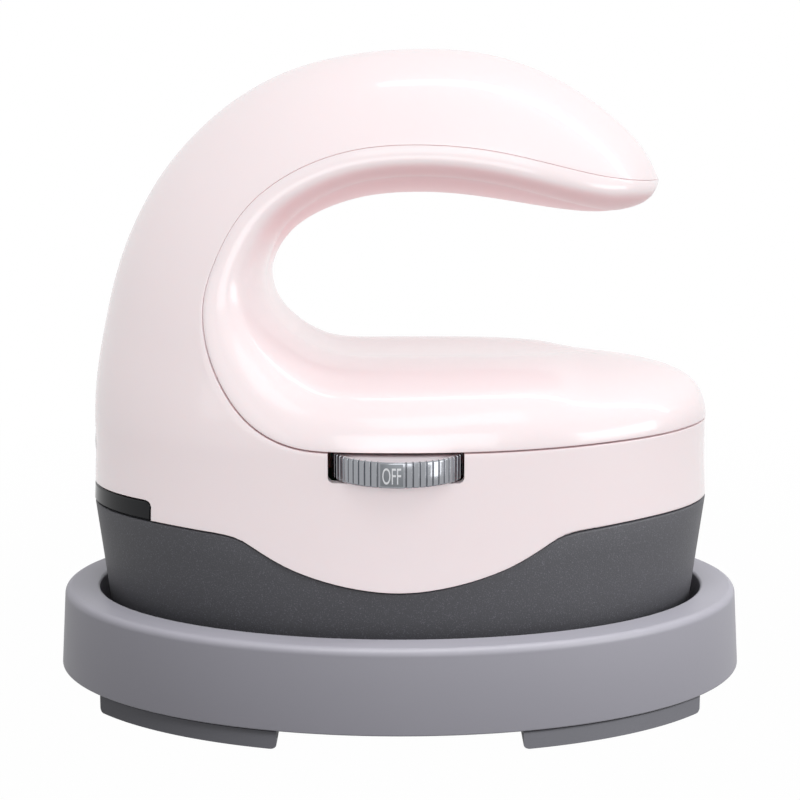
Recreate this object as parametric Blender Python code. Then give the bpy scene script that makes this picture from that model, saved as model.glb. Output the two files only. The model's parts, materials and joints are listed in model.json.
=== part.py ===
"""Mini heat press standing in its safety tray.

Metres, +Z up, +X towards the nose of the handle, origin on the table under the middle of the tray.
The press body is a dome cut open by a C-shaped hand opening: an outer shell, a grip cover that lines
the opening, and a skirt below. A knurled dial in the near wall sets the heat.
"""
import math

import bpy
import bmesh
import numpy as np
from mathutils import Vector

# Fits
GAP = 0.0003
OVERRUN = 0.0020

# Press body: the dome's plan and rise, the walls, and what the shell and the skirt taper
BODY_LENGTH = 0.1168
BODY_WIDTH = 0.0680
DOME_RISE_SHARE = 1.1969
BASE_FLARE = 0.0005
SHELL_WALL = 0.0022
COVER_WALL = 0.0020
NOSE_TAPER = 0.0130
NOSE_WALL_SHARE = 0.28
SKIRT_FLARE = 0.0005
SKIRT_END_TAPER = 0.0026
SKIRT_SIDE_TAPER = 0.0015
SKIRT_WALL = 0.0020
LEDGE_WIDTH = 0.0066
LEDGE_THICK = 0.0022
BODY_HALF_LENGTH = BODY_LENGTH / 2
BODY_HALF_WIDTH = BODY_WIDTH / 2
DOME_RISE = BODY_HALF_LENGTH * DOME_RISE_SHARE
SKIRT_FOOT_HALF_LENGTH = BODY_HALF_LENGTH - SKIRT_END_TAPER
SKIRT_FOOT_HALF_WIDTH = BODY_HALF_WIDTH - SKIRT_SIDE_TAPER

# Heights, from the table up: feet, tray floor, pads, plate, gasket, ledge, frame, board, dial and seam
FOOT_HEIGHT = 0.0032
TRAY_FLOOR_RISE = 0.0027
TRAY_FLOOR_THICK = 0.0020
TRAY_DEPTH = 0.0125
PAD_RISE = 0.0024
PLATE_THICK = 0.0050
PLATE_REVEAL = 0.0029
GASKET_HEIGHT = 0.0067
FRAME_THICK = 0.0020
BOARD_STANDOFF = 0.0082
BOARD_THICK = 0.0016
DIAL_STANDOFF = 0.0108
DIAL_THICK = 0.0046
DIAL_TOP_GAP = 0.0004
WAVE_LEDGE_RISE = 0.0029
WAVE_RISE = 0.0108
LENS_BAND = 0.0027
BUSH_RISE = 0.0076
TRAY_LOW_Z = FOOT_HEIGHT + GAP
TRAY_FLOOR_Z = TRAY_LOW_Z + TRAY_FLOOR_RISE
TRAY_RIM_Z = TRAY_FLOOR_Z + TRAY_DEPTH
PLATE_LOW_Z = TRAY_FLOOR_Z + PAD_RISE
PLATE_TOP_Z = PLATE_LOW_Z + PLATE_THICK
SKIRT_FOOT_Z = PLATE_LOW_Z + PLATE_REVEAL
LEDGE_LOW_Z = PLATE_TOP_Z + GASKET_HEIGHT
LEDGE_TOP_Z = LEDGE_LOW_Z + LEDGE_THICK
FRAME_LOW_Z = LEDGE_TOP_Z + GAP
FRAME_TOP_Z = FRAME_LOW_Z + FRAME_THICK
BOARD_LOW_Z = FRAME_TOP_Z + BOARD_STANDOFF
BOARD_TOP_Z = BOARD_LOW_Z + BOARD_THICK
DIAL_LOW_Z = BOARD_TOP_Z + DIAL_STANDOFF
SEAM_Z = DIAL_LOW_Z + DIAL_THICK + DIAL_TOP_GAP
WAVE_LOW_Z = LEDGE_TOP_Z + WAVE_LEDGE_RISE
LENS_TOP_Z = WAVE_LOW_Z + WAVE_RISE + LENS_BAND
BUSH_Z = LENS_TOP_Z + BUSH_RISE

# Distance from the middle of the seam plane to the dome's outline, by angle from +X in shares of a half
# turn, in shares of half the body length
DOME_ANGLE_SHARES = (0.0, 0.080, 0.150, 0.200, 0.240, 0.257, 0.300, 0.350, 0.405, 0.500, 0.617, 0.728,
                     0.813, 0.895, 0.950, 1.0)
DOME_REACH_SHARES = (1.0, 1.032, 1.110, 1.125, 1.137, 1.168, 1.193, 1.207, 1.213, 1.193, 1.176, 1.118,
                     1.060, 1.012, 1.002, 1.0)
DOME_ROUNDNESS = 2.0
CREST_ROUNDNESS_LOSS = 0.30

# Wavy line between shell and skirt: height above its low point over the half length
WAVE_TILT = 0.0005
WAVE_REACH_SHARES = (0.0, 0.06, 0.18, 0.30, 0.36, 0.42, 0.48, 0.52, 0.62, 0.75, 1.0)
WAVE_HEIGHT_SHARES = (0.0, 0.015, 0.12, 0.31, 0.45, 0.63, 0.82, 0.88, 0.93, 0.97, 1.0)

# Stations along the C, from the front tip of the base round to the tip of the nose. Each row holds the
# hand line and the seam as shares of the half length and of the dome's rise, the half width of the
# palm strip and the crown of the strip in shares of the half width.
STATION_SHARES = (
    (1.000, 0.017, 1.000, 0.017, 0.000, 0.000),
    (0.986, 0.084, 0.980, 0.016, 0.000, 0.000),
    (0.935, 0.130, 0.925, 0.014, 0.000, 0.000),
    (0.822, 0.163, 0.815, 0.010, 0.000, 0.000),
    (0.651, 0.183, 0.651, 0.007, 0.000, 0.000),
    (0.479, 0.191, 0.479, 0.003, 0.250, -0.010),
    (0.240, 0.192, 0.240, 0.000, 0.362, -0.015),
    (0.000, 0.192, 0.000, 0.000, 0.362, -0.015),
    (-0.140, 0.193, -0.188, 0.000, 0.350, -0.012),
    (-0.248, 0.209, -0.342, 0.011, 0.310, -0.006),
    (-0.342, 0.260, -0.479, 0.077, 0.260, 0.000),
    (-0.404, 0.323, -0.575, 0.208, 0.200, 0.004),
    (-0.421, 0.395, -0.602, 0.338, 0.175, 0.010),
    (-0.394, 0.471, -0.568, 0.452, 0.200, 0.025),
    (-0.325, 0.539, -0.479, 0.590, 0.260, 0.055),
    (-0.206, 0.589, -0.325, 0.688, 0.330, 0.085),
    (-0.068, 0.617, -0.137, 0.743, 0.375, 0.103),
    (0.103, 0.622, 0.068, 0.754, 0.380, 0.106),
    (0.291, 0.606, 0.274, 0.740, 0.370, 0.098),
    (0.479, 0.580, 0.462, 0.704, 0.300, 0.070),
    (0.634, 0.567, 0.616, 0.673, 0.150, 0.025),
    (0.736, 0.580, 0.728, 0.660, 0.000, 0.000),
    (0.801, 0.605, 0.798, 0.656, 0.000, 0.000),
    (0.8305, 0.656, 0.8305, 0.656, 0.000, 0.000),
)
CORNER_STATION = 10
GRIP_FILLET = 2.2
STATION_STEPS = 2
COVER_STEPS = 6
SHELL_STEPS = 7
STRIP_STEPS = 2

# Dark lens let into the back of the shell
LENS_REACH = 0.0132
LENS_WALL = 0.0018
LENS_CORNER = 0.0012
LENS_REACH_X = LENS_REACH - BODY_HALF_LENGTH

# Flush cord bush in the back wall
BUSH_RADIUS = 0.0048
BUSH_BORE_RADIUS = 0.0032
BUSH_COLLAR_RADIUS = 0.0062
BUSH_COLLAR = 0.0014
BUSH_INSET = 0.0004
BUSH_LENGTH = 0.0080

# Heat dial, set back from the near wall
DIAL_RADIUS = 0.0118
DIAL_X = -0.0003
DIAL_INSET = 0.0067
DIAL_RIBS = 60
DIAL_RIB_DEPTH = 0.0005
DIAL_BEVEL = 0.0003
DIAL_STOPS = 4
DIAL_STOP_STEP = 60.0
DIAL_REST_TURN = -98.6
DIAL_PLATE_TURN = 22.0
DIAL_HUB_DROP = 0.0005
DIAL_HUB_RADIUS = 0.0042
DIAL_Y = DIAL_INSET - BODY_HALF_WIDTH
SHAFT_RADIUS = 0.0020
SHAFT_DEPTH = 0.0050
SHAFT_TOP_SINK = 0.0006
WINDOW_SHIFT = 0.0004
WINDOW_END_GAP = 0.0001
WINDOW_SIDE_GAP = 0.0003
WINDOW_CORNER = 0.0010
WINDOW_LENGTH = (DIAL_RADIUS + WINDOW_END_GAP) * 2
WINDOW_X = DIAL_X - WINDOW_SHIFT

# Heating plate inside the skirt, with its screw posts
PLATE_END_GAP = 0.0008
PLATE_SIDE_GAP = 0.0006
PLATE_BEVEL = 0.0008
PLATE_POST_RADIUS = 0.0032
PLATE_POST_RISE = 0.0037
PLATE_POST_SINK = 0.0010
DRILL_FLOOR = 0.0026
POST_FRONT_INSET = 0.0130
POST_REAR_SHARE = 0.415
POST_SIDE_INSET = 0.0099
SCREW_DRILL = 0.0014
SCREW_SHANK = 0.0011
SCREW_HEAD_RADIUS = 0.0025
SCREW_HEAD = 0.0020
PLATE_HALF_LENGTH = SKIRT_FOOT_HALF_LENGTH - SKIRT_WALL - PLATE_END_GAP
PLATE_HALF_WIDTH = SKIRT_FOOT_HALF_WIDTH - SKIRT_WALL - PLATE_SIDE_GAP
PLATE_POST_TOP_Z = PLATE_TOP_Z + PLATE_POST_RISE
DRILL_FLOOR_Z = PLATE_LOW_Z + DRILL_FLOOR
POST_FRONT_X = PLATE_HALF_LENGTH - POST_FRONT_INSET
POST_REAR_X = -PLATE_HALF_LENGTH * POST_REAR_SHARE
POST_REAR_Y = PLATE_HALF_WIDTH - POST_SIDE_INSET

# Tubular element in a groove of the plate, its front bend short of the front post
ELEMENT_RADIUS = 0.0030
ELEMENT_SIDE_INSET = 0.0169
ELEMENT_POST_REACH = 0.0130
ELEMENT_TAIL_GAP = 0.0110
ELEMENT_TAIL_RISE = 0.0060
ELEMENT_TAIL_REACH = 0.0050
ELEMENT_BEND = PLATE_HALF_WIDTH - ELEMENT_SIDE_INSET
ELEMENT_BEND_X = POST_FRONT_X - ELEMENT_POST_REACH - ELEMENT_BEND
ELEMENT_TAIL_X = POST_REAR_X - ELEMENT_TAIL_GAP
GASKET_WALL = 0.0020
GASKET_INSET = 0.0004

# Shield, spacers and frame above the plate
SHIELD_THICK = 0.0008
SHIELD_END_INSET = 0.0060
SHIELD_SIDE_INSET = 0.0037
SHIELD_TAIL_GAP = 0.0040
SHIELD_HALF_LENGTH = PLATE_HALF_LENGTH - SHIELD_END_INSET
SHIELD_HALF_WIDTH = PLATE_HALF_WIDTH - SHIELD_SIDE_INSET
SHIELD_REAR_X = ELEMENT_TAIL_X + SHIELD_TAIL_GAP
SPACER_RADIUS = 0.0032
FRAME_SLOT_LENGTH = 0.0080
FRAME_SLOT_GAP = 0.0010
FRAME_WINDOW_LENGTH = 0.0240
FRAME_WINDOW_WIDTH = 0.0200
FRAME_WINDOW_X = 0.0060
FRAME_SCREW_ANGLE = 44.0
FRAME_SCREW_BITE = 0.0018
FRAME_SLOT_X = ELEMENT_TAIL_X - ELEMENT_TAIL_REACH
FRAME_SCREW_TIP_Z = LEDGE_TOP_Z - FRAME_SCREW_BITE

# Circuit board on the frame's posts, and what stands on it
BOARD_END_INSET = 0.0184
BOARD_SIDE_INSET = 0.0035
BOARD_POST_RADIUS = 0.0030
BOARD_POST_END_INSET = 0.0140
BOARD_POST_SIDE_INSET = 0.0165
BOARD_SCREW_DEPTH = 0.0060
BOARD_HALF_LENGTH = BODY_HALF_LENGTH - BOARD_END_INSET
BOARD_HALF_WIDTH = BODY_HALF_WIDTH - BOARD_SIDE_INSET
BOARD_POST_X = BOARD_HALF_LENGTH - BOARD_POST_END_INSET
BOARD_POST_Y = BOARD_HALF_WIDTH - BOARD_POST_SIDE_INSET
SWITCH_LENGTH = 0.0130
SWITCH_WIDTH = 0.0120
SWITCH_NECK_RADIUS = 0.0036
SWITCH_NECK = 0.0012
SWITCH_Y_SHIFT = 0.0020
CHIP_SIZE = 0.0070
CHIP_THICK = 0.0016
CHIP_INSET = 0.0170
CAPACITOR_LENGTH = 0.0130
CAPACITOR_WIDTH = 0.0060
CAPACITOR_HEIGHT = 0.0110
CAPACITOR_INSET = 0.0125
TERMINAL_LENGTH = 0.0080
TERMINAL_WIDTH = 0.0150
TERMINAL_HEIGHT = 0.0090
TERMINAL_POST_GAP = 0.0010
TRIAC_WIDTH = 0.0100
TRIAC_THICK = 0.0044
TRIAC_HEIGHT = 0.0150
TRIAC_POST_REACH = 0.0120
SINK_WIDTH = 0.0160
SINK_THICK = 0.0016
SINK_HEIGHT = 0.0130
SINK_FLANGE = 0.0070
TILT_RADIUS = 0.0026
TILT_HEIGHT = 0.0070
LED_RADIUS = 0.0015
LED_HEIGHT = 0.0030
PART_EDGE = 0.0004
FUSE_RADIUS = 0.0016
FUSE_LENGTH = 0.0110
FUSE_SENSOR_REACH = 0.0220
SENSOR_LUG_RADIUS = 0.0035
SENSOR_LUG_THICK = 0.0008
SENSOR_BEAD_RADIUS = 0.0014
SENSOR_BEAD_LENGTH = 0.0070
SENSOR_BEND_REACH = 0.0030
SENSOR_X = ELEMENT_BEND_X - SENSOR_BEND_REACH
LEAD_RADIUS = 0.0010
LEAD_END_INSET = 0.0088
LEAD_KNEE_SHARES = (0.36, 0.72)
PIPE_WIDTH = 0.0050
PIPE_HEIGHT = 0.0024
PIPE_GAP = 0.0005

# Safety tray: room round the skirt, walls, edges, feet and rest pads
TRAY_END_ROOM = 0.0025
TRAY_SIDE_ROOM = 0.0063
TRAY_END_WALL = 0.0076
TRAY_SIDE_WALL = 0.0071
TRAY_DRAFT = 0.0009
TRAY_CORNER = 0.0006
TRAY_FILLET = 0.0014
TRAY_LIP = 0.0012
TRAY_INNER_DRAFT = 0.0013
TRAY_RECESS_INSET = 0.0159
TRAY_INNER_HALF_LENGTH = SKIRT_FOOT_HALF_LENGTH + TRAY_END_ROOM
TRAY_INNER_HALF_WIDTH = SKIRT_FOOT_HALF_WIDTH + TRAY_SIDE_ROOM
TRAY_HALF_LENGTH = TRAY_INNER_HALF_LENGTH + TRAY_END_WALL
TRAY_HALF_WIDTH = TRAY_INNER_HALF_WIDTH + TRAY_SIDE_WALL
FOOT_INSET = 0.0007
FOOT_WIDTH = 0.0080
FOOT_TONGUE = 0.0030
FOOT_TONGUE_RISE = 0.0015
FOOT_EDGE = 0.0006
FOOT_FROM_ANGLE = 32.4
FOOT_END_X = 0.0214
PAD_RADIUS = 0.0050
PAD_END_INSET = 0.0190
PAD_SIDE_INSET = 0.0139
PAD_PEG_RADIUS = 0.0022
PAD_EDGE = 0.0005
PAD_X = PLATE_HALF_LENGTH - PAD_END_INSET
PAD_Y = PLATE_HALF_WIDTH - PAD_SIDE_INSET

# Ribs that stand the shell on the frame, beside the frame screws and clear of the board
RIB_THICK = 0.0026
RIB_SCREW_GAP = 0.0012
RIB_BOARD_GAP = 0.0016
RIB_HANG = 0.0036
RIB_TURN_RISE = 0.0026
RIB_WALL_RISE = 0.0068
RIB_TURN_Z = BOARD_TOP_Z + RIB_TURN_RISE
RIB_TOP_Z = RIB_TURN_Z + RIB_WALL_RISE

# Smoothness
AROUND_STEPS = 72
OVAL_STEPS = 48
ROUND_STEPS = 16
SMALL_STEPS = 10
SHARP_ANGLE = math.radians(32.0)

FINISHES = {
    "pink_shell": ((0.88, 0.76, 0.76), 0.32, 0.0),
    "charcoal_skirt": ((0.075, 0.075, 0.085), 0.62, 0.0),
    "dark_lens": ((0.02, 0.021, 0.024), 0.12, 0.0),
    "tray_grey": ((0.21, 0.215, 0.26), 0.55, 0.0),
    "foot_rubber": ((0.04, 0.04, 0.043), 0.75, 0.0),
    "silicone": ((0.10, 0.10, 0.11), 0.70, 0.0),
    "chrome": ((0.80, 0.80, 0.82), 0.12, 1.0),
    "coated_plate": ((0.10, 0.10, 0.105), 0.45, 0.3),
    "steel": ((0.56, 0.57, 0.58), 0.35, 1.0),
    "black_plastic": ((0.03, 0.03, 0.032), 0.50, 0.0),
    "board_green": ((0.04, 0.20, 0.08), 0.45, 0.0),
    "ceramic": ((0.75, 0.72, 0.66), 0.55, 0.0),
    "clear_plastic": ((0.80, 0.84, 0.86), 0.10, 0.0),
    "lead_sleeve": ((0.55, 0.06, 0.05), 0.50, 0.0),
}


def finish(name):
    """The Principled material of that name, made once."""
    found = bpy.data.materials.get(name)
    if found:
        return found
    color, roughness, metallic = FINISHES[name]
    made = bpy.data.materials.new(name)
    made.use_nodes = True
    shader = made.node_tree.nodes["Principled BSDF"]
    shader.inputs["Base Color"].default_value = (*color, 1.0)
    shader.inputs["Roughness"].default_value = roughness
    shader.inputs["Metallic"].default_value = metallic
    return made


def new_piece(name, bm, look, at=(0, 0, 0), parent=None):
    """Turn a bmesh into a named piece with outward faces and smooth rounds."""
    bmesh.ops.dissolve_degenerate(bm, edges=bm.edges, dist=GAP / 100)
    if bm.calc_volume(signed=True) < 0:
        bmesh.ops.reverse_faces(bm, faces=bm.faces)
    mesh = bpy.data.meshes.new(name)
    bm.to_mesh(mesh)
    bm.free()
    mesh.shade_smooth()
    mesh.set_sharp_from_angle(angle=SHARP_ANGLE)
    piece = bpy.data.objects.new(name, mesh)
    bpy.context.collection.objects.link(piece)
    piece.location = at
    piece.parent = parent
    mesh.materials.append(finish(look))
    return piece


def tool(piece):
    """Mark a piece as a cutter or a former: never shown and never built."""
    piece.hide_render = True
    piece.display_type = "WIRE"
    return piece


def combine(piece, other, operation):
    """Cut from the piece, or join to it, with a Boolean that stays on it."""
    step = piece.modifiers.new(operation.lower(), "BOOLEAN")
    step.operation = operation
    step.object = tool(other)
    step.solver = "EXACT"
    return piece


def curve_through(knots, values, at):
    """Smooth curve through hand-set knots: cubic pieces whose slopes are averages of the chords."""
    knots = np.asarray(knots, float)
    values = np.asarray(values, float)
    chord = np.diff(values) / np.diff(knots)
    slope = np.concatenate([[chord[0]], (chord[:-1] + chord[1:]) / 2, [chord[-1]]])
    slope[1:-1] = np.where(chord[:-1] * chord[1:] <= 0, 0.0, slope[1:-1])
    at = np.clip(at, knots[0], knots[-1])
    i = np.clip(np.searchsorted(knots, at, side="right") - 1, 0, len(knots) - 2)
    step = knots[i + 1] - knots[i]
    s = (at - knots[i]) / step
    return ((1 + 2 * s) * (1 - s) ** 2 * values[i] + s * (1 - s) ** 2 * step * slope[i]
            + s ** 2 * (3 - 2 * s) * values[i + 1] + s ** 2 * (s - 1) * step * slope[i + 1])


def dome_reach(angle):
    """Radius of the dome's outline at an angle about the middle of the seam plane."""
    shares = curve_through(DOME_ANGLE_SHARES, DOME_REACH_SHARES, angle / math.pi)
    return shares * BODY_HALF_LENGTH


def wall_half_length(z):
    """Half length of the base wall, which flares a little below the seam."""
    drop = np.clip((SEAM_Z - z) / (SEAM_Z - WAVE_LOW_Z - WAVE_RISE), 0.0, 1.0)
    return BODY_HALF_LENGTH + BASE_FLARE * drop ** 2


def half_width(x, z):
    """Half width of the press body over a point of its side view."""
    above = np.maximum(z - SEAM_Z, 0.0)
    angle = np.arctan2(above, x)
    share = np.hypot(x, above) / dome_reach(angle)
    share = np.where(above > 0, share, np.abs(x) / wall_half_length(z))
    power = DOME_ROUNDNESS - CREST_ROUNDNESS_LOSS * np.sin(angle)
    return BODY_HALF_WIDTH * np.maximum(1.0 - np.minimum(share, 1.0) ** power, 0.0) ** (1.0 / power)


def wave_z(x):
    """Height of the line between shell and skirt."""
    rise = curve_through(WAVE_REACH_SHARES, WAVE_HEIGHT_SHARES, np.abs(x) / BODY_HALF_LENGTH)
    return WAVE_LOW_Z + WAVE_RISE * rise + WAVE_TILT * x / BODY_HALF_LENGTH


def stations():
    """Hand line, seam, strip half width and crown at every step along the C."""
    rows = np.array(STATION_SHARES)
    at = np.linspace(0, len(rows) - 1, (len(rows) - 1) * STATION_STEPS + 1)
    knots = np.arange(len(rows))
    x_hand, z_hand, x_seam, z_seam, strip, crown = [curve_through(knots, rows[:, k], at) for k in range(6)]
    hand = np.stack([x_hand * BODY_HALF_LENGTH, SEAM_Z + z_hand * DOME_RISE], axis=1)
    seam = np.stack([x_seam * BODY_HALF_LENGTH, SEAM_Z + z_seam * DOME_RISE], axis=1)
    run = np.gradient(seam, axis=0)
    out = np.stack([-run[:, 1], run[:, 0]], axis=1)
    out /= np.linalg.norm(out, axis=1, keepdims=True)
    return at, hand, seam, out, np.maximum(strip, 0) * BODY_HALF_WIDTH, crown * BODY_HALF_WIDTH


def outline_opposite(at, seam):
    """Point of the outer outline that faces each station: the wave line, then the dome's outline."""
    corner = CORNER_STATION
    last = len(STATION_SHARES) - 1
    corner_z = wave_z(-BODY_HALF_LENGTH) - OVERRUN
    share = np.clip(at / corner, 0, 1)
    line_x = BODY_HALF_LENGTH * np.cos(math.pi * share ** 1.5)
    line = np.stack([line_x, wave_z(line_x) - OVERRUN], axis=1)
    start = math.atan2(corner_z - SEAM_Z, -BODY_HALF_LENGTH) + 2 * math.pi
    end = math.atan2(seam[-1, 1] - SEAM_Z, seam[-1, 0])
    angle = start + (end - start) * np.clip((at - corner) / (last - corner), 0, 1) ** 0.95
    reach = dome_reach(np.clip(angle, 0, math.pi))
    reach = np.where(angle > math.pi, BODY_HALF_LENGTH / np.abs(np.cos(angle)), reach)
    dome = np.stack([reach * np.cos(angle), SEAM_Z + reach * np.sin(angle)], axis=1)
    return np.where((at <= corner)[:, None], line, dome)


def body_grid():
    """Side view points from the middle of the palm strip over the seam to the outline, with widths."""
    at, hand, seam, out, strip, crown = stations()
    toward = seam - hand
    span = np.linalg.norm(toward, axis=1, keepdims=True)
    unit = toward / np.maximum(span, GAP / 100)
    edge = hand + unit * np.minimum(crown[:, None], span / 2)
    rows = []
    for share in np.linspace(0, 1, STRIP_STEPS + 1)[:-1]:
        flat = hand + (edge - hand) * share ** 2
        rows.append(np.concatenate([flat, (strip * share)[:, None]], axis=1))
    for share in np.linspace(0, 1, COVER_STEPS + 1):
        along = 1 - math.cos(share * math.pi / 2)
        point = edge + (seam - edge) * along
        full = np.maximum(half_width(point[:, 0], point[:, 1]), strip)
        rise = (1 - (1 - along) ** GRIP_FILLET) ** (1 / GRIP_FILLET)
        rows.append(np.concatenate([point, (strip + (full - strip) * rise)[:, None]], axis=1))
    outline = outline_opposite(at, seam)
    for share in np.linspace(0, 1, SHELL_STEPS + 1)[1:]:
        along = 1 - (1 - share) ** 1.7
        point = seam + (outline - seam) * along
        point[:, 0] *= wall_half_length(point[:, 1]) / BODY_HALF_LENGTH
        rows.append(np.concatenate([point, half_width(point[:, 0], point[:, 1])[:, None]], axis=1))
    grid = np.stack(rows, axis=1)
    fold = (np.arange(len(at)) > CORNER_STATION * STATION_STEPS)
    grid[fold, -1, 2] = 0.0
    grid[CORNER_STATION * STATION_STEPS, -1, 2] = 0.0
    grid[0, :, 2] = 0.0
    grid[-1, :, 2] = 0.0
    return grid, out


def grid_normals(points):
    """Outward normals of the near side grid, square to the middle plane where the width is nothing."""
    along = np.gradient(points, axis=0)
    across = np.gradient(points, axis=1)
    normal = np.cross(along, across)
    normal /= np.maximum(np.linalg.norm(normal, axis=2, keepdims=True), GAP ** 3)
    flat = np.abs(points[:, :, 1]) < GAP / 100
    normal[flat, 1] = 0.0
    closed = np.linalg.norm(points[:, STRIP_STEPS] - points[:, 0], axis=1) < GAP / 100
    normal[closed, :STRIP_STEPS] = normal[closed, STRIP_STEPS][:, None]
    normal[0] = (1, 0, 0)
    normal[-1] = (1, 0, 0)
    normal /= np.maximum(np.linalg.norm(normal, axis=2, keepdims=True), GAP ** 3)
    return normal


def wall_shares(grid):
    """Share of the wall kept at each station: it thins where the nose runs out to its tip."""
    depth = np.linalg.norm(grid[:, -1, :2] - grid[:, 0, :2], axis=1)
    shares = np.clip(depth / NOSE_TAPER, NOSE_WALL_SHARE, 1.0)
    shares[:CORNER_STATION * STATION_STEPS] = 1.0
    return shares


def thin_wall(name, points, normals, wall, look):
    """Closed wall from a near side skin: mirrored, welded, set in by the wall and rimmed."""
    bm = bmesh.new()
    layer = bm.verts.layers.float_vector.new("inward")
    for side in (1, -1):
        made = []
        for point, normal in zip(points.reshape(-1, 3), normals.reshape(-1, 3)):
            vert = bm.verts.new((point[0], point[1] * side, point[2]))
            vert[layer] = Vector((-normal[0], -normal[1] * side, -normal[2]))
            made.append(vert)
        rows, columns = points.shape[:2]
        for i in range(rows - 1):
            for j in range(columns - 1):
                ring = [made[i * columns + j], made[(i + 1) * columns + j],
                        made[(i + 1) * columns + j + 1], made[i * columns + j + 1]]
                bm.faces.new(ring[::side])
    bmesh.ops.remove_doubles(bm, verts=bm.verts, dist=GAP / 20)
    bmesh.ops.dissolve_degenerate(bm, edges=bm.edges, dist=GAP / 20)
    skin = list(bm.faces)
    rim = [edge for edge in bm.edges if edge.is_boundary]
    inner = {vert: bm.verts.new(vert.co + vert[layer] * wall) for vert in list(bm.verts)}
    for edge in rim:
        loop = edge.link_loops[0]
        start, end = loop.vert, loop.link_loop_next.vert
        bm.faces.new((end, start, inner[start], inner[end]))
    for face in skin:
        bm.faces.new([inner[vert] for vert in reversed(face.verts)])
    return new_piece(name, bm, look)


def near_points(grid):
    """The near side of a side view grid in space."""
    return np.stack([grid[:, :, 0], -grid[:, :, 2], grid[:, :, 1]], axis=2)


def loft(name, sections, look, closed=True, at=(0, 0, 0), parent=None):
    """Skin over equal rings of points; the run of rings closes on itself or ends in flat caps."""
    bm = bmesh.new()
    rings = [[bm.verts.new(point) for point in ring] for ring in sections]
    count = len(rings)
    for i in range(count if closed else count - 1):
        ring, following = rings[i], rings[(i + 1) % count]
        for j in range(len(ring)):
            k = (j + 1) % len(ring)
            bm.faces.new((ring[j], ring[k], following[k], following[j]))
    if not closed:
        bm.faces.new(rings[0][::-1])
        bm.faces.new(rings[-1])
    bmesh.ops.remove_doubles(bm, verts=bm.verts, dist=GAP / 100)
    bmesh.ops.triangulate(bm, faces=[face for face in bm.faces if len(face.verts) > 4])
    return new_piece(name, bm, look, at, parent)


def oval_turn(name, profile, look, steps=AROUND_STEPS):
    """Solid from a profile of (half length, half width, height) carried round an ellipse."""
    sections = []
    for angle in np.linspace(0, 2 * math.pi, steps, endpoint=False):
        sections.append([(a * math.cos(angle), b * math.sin(angle), z) for a, b, z in profile])
    return loft(name, sections, look)


def oval_slab(name, half_length, half_width_, low, high, look, edge=0.0, steps=OVAL_STEPS):
    """Flat elliptical plate, its lower edge bevelled."""
    levels = [(0.0, high), (0.0, low + edge), (edge, low)] if edge else [(0.0, high), (0.0, low)]
    sections = []
    for inset, z in levels[::-1]:
        ring = []
        for angle in np.linspace(0, 2 * math.pi, steps, endpoint=False):
            ring.append(((half_length - inset) * math.cos(angle), (half_width_ - inset) * math.sin(angle), z))
        sections.append(ring)
    return loft(name, sections, look, closed=False)


def turned(name, profile, look, at=(0, 0, 0), steps=ROUND_STEPS, parent=None, along="Z"):
    """Turned piece from a closed profile of (radius, distance along the axis)."""
    sections = []
    for angle in np.linspace(0, 2 * math.pi, steps, endpoint=False):
        c, s = math.cos(angle), math.sin(angle)
        if along == "Z":
            sections.append([(r * c, r * s, h) for r, h in profile])
        else:
            sections.append([(h, r * c, r * s) for r, h in profile])
    return loft(name, sections, look, True, at, parent)


def rod(name, radius, low, high, look, at=(0, 0, 0), steps=SMALL_STEPS, parent=None, along="Z"):
    """Plain round bar between two distances along its axis."""
    return turned(name, [(0, low), (radius, low), (radius, high), (0, high)], look, at, steps, parent, along)


def block(name, size, at, look, edge=0.0):
    """Box with its middle at a point and, where it has an edge, bevelled corners."""
    bm = bmesh.new()
    bmesh.ops.create_cube(bm, size=1.0)
    bmesh.ops.scale(bm, vec=size, verts=bm.verts)
    if edge:
        bmesh.ops.bevel(bm, geom=bm.edges, offset=edge, segments=1, affect="EDGES")
    return new_piece(name, bm, look, at)


def prism(name, outline, low, high, look, axis="Y"):
    """Flat outline carried along an axis."""
    if axis == "Y":
        ends = [[(u, side, v) for u, v in outline] for side in (low, high)]
    elif axis == "X":
        ends = [[(side, u, v) for u, v in outline] for side in (low, high)]
    else:
        ends = [[(u, v, side) for u, v in outline] for side in (low, high)]
    return loft(name, ends, look, closed=False)


def many_rods(name, places, radius, low, high):
    """Several equal upright bars in one former."""
    bm = bmesh.new()
    for x, y in places:
        rings = []
        for z in (low, high):
            ring = []
            for angle in np.linspace(0, 2 * math.pi, SMALL_STEPS, endpoint=False):
                ring.append(bm.verts.new((x + radius * math.cos(angle), y + radius * math.sin(angle), z)))
            rings.append(ring)
        bm.faces.new(rings[0][::-1])
        bm.faces.new(rings[1])
        for j in range(SMALL_STEPS):
            k = (j + 1) % SMALL_STEPS
            bm.faces.new((rings[0][j], rings[0][k], rings[1][k], rings[1][j]))
    return new_piece(name, bm, "steel")


def tube(name, points, radius, look, steps=SMALL_STEPS):
    """Round bar carried along a smooth run of points, with flat ends."""
    path = np.asarray(points, float)
    run = np.gradient(path, axis=0)
    run /= np.linalg.norm(run, axis=1, keepdims=True)
    carried = Vector((0, 0, 1)) if abs(run[0][2]) < abs(run[0][0]) else Vector((1, 0, 0))
    sections = []
    for point, ahead in zip(path, run):
        ahead = Vector(ahead)
        carried = (carried - ahead * carried.dot(ahead)).normalized()
        other = ahead.cross(carried)
        ring = []
        for angle in np.linspace(0, 2 * math.pi, steps, endpoint=False):
            ring.append(Vector(point) + (carried * math.cos(angle) + other * math.sin(angle)) * radius)
        sections.append(ring)
    return loft(name, sections, look, closed=False)


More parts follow.
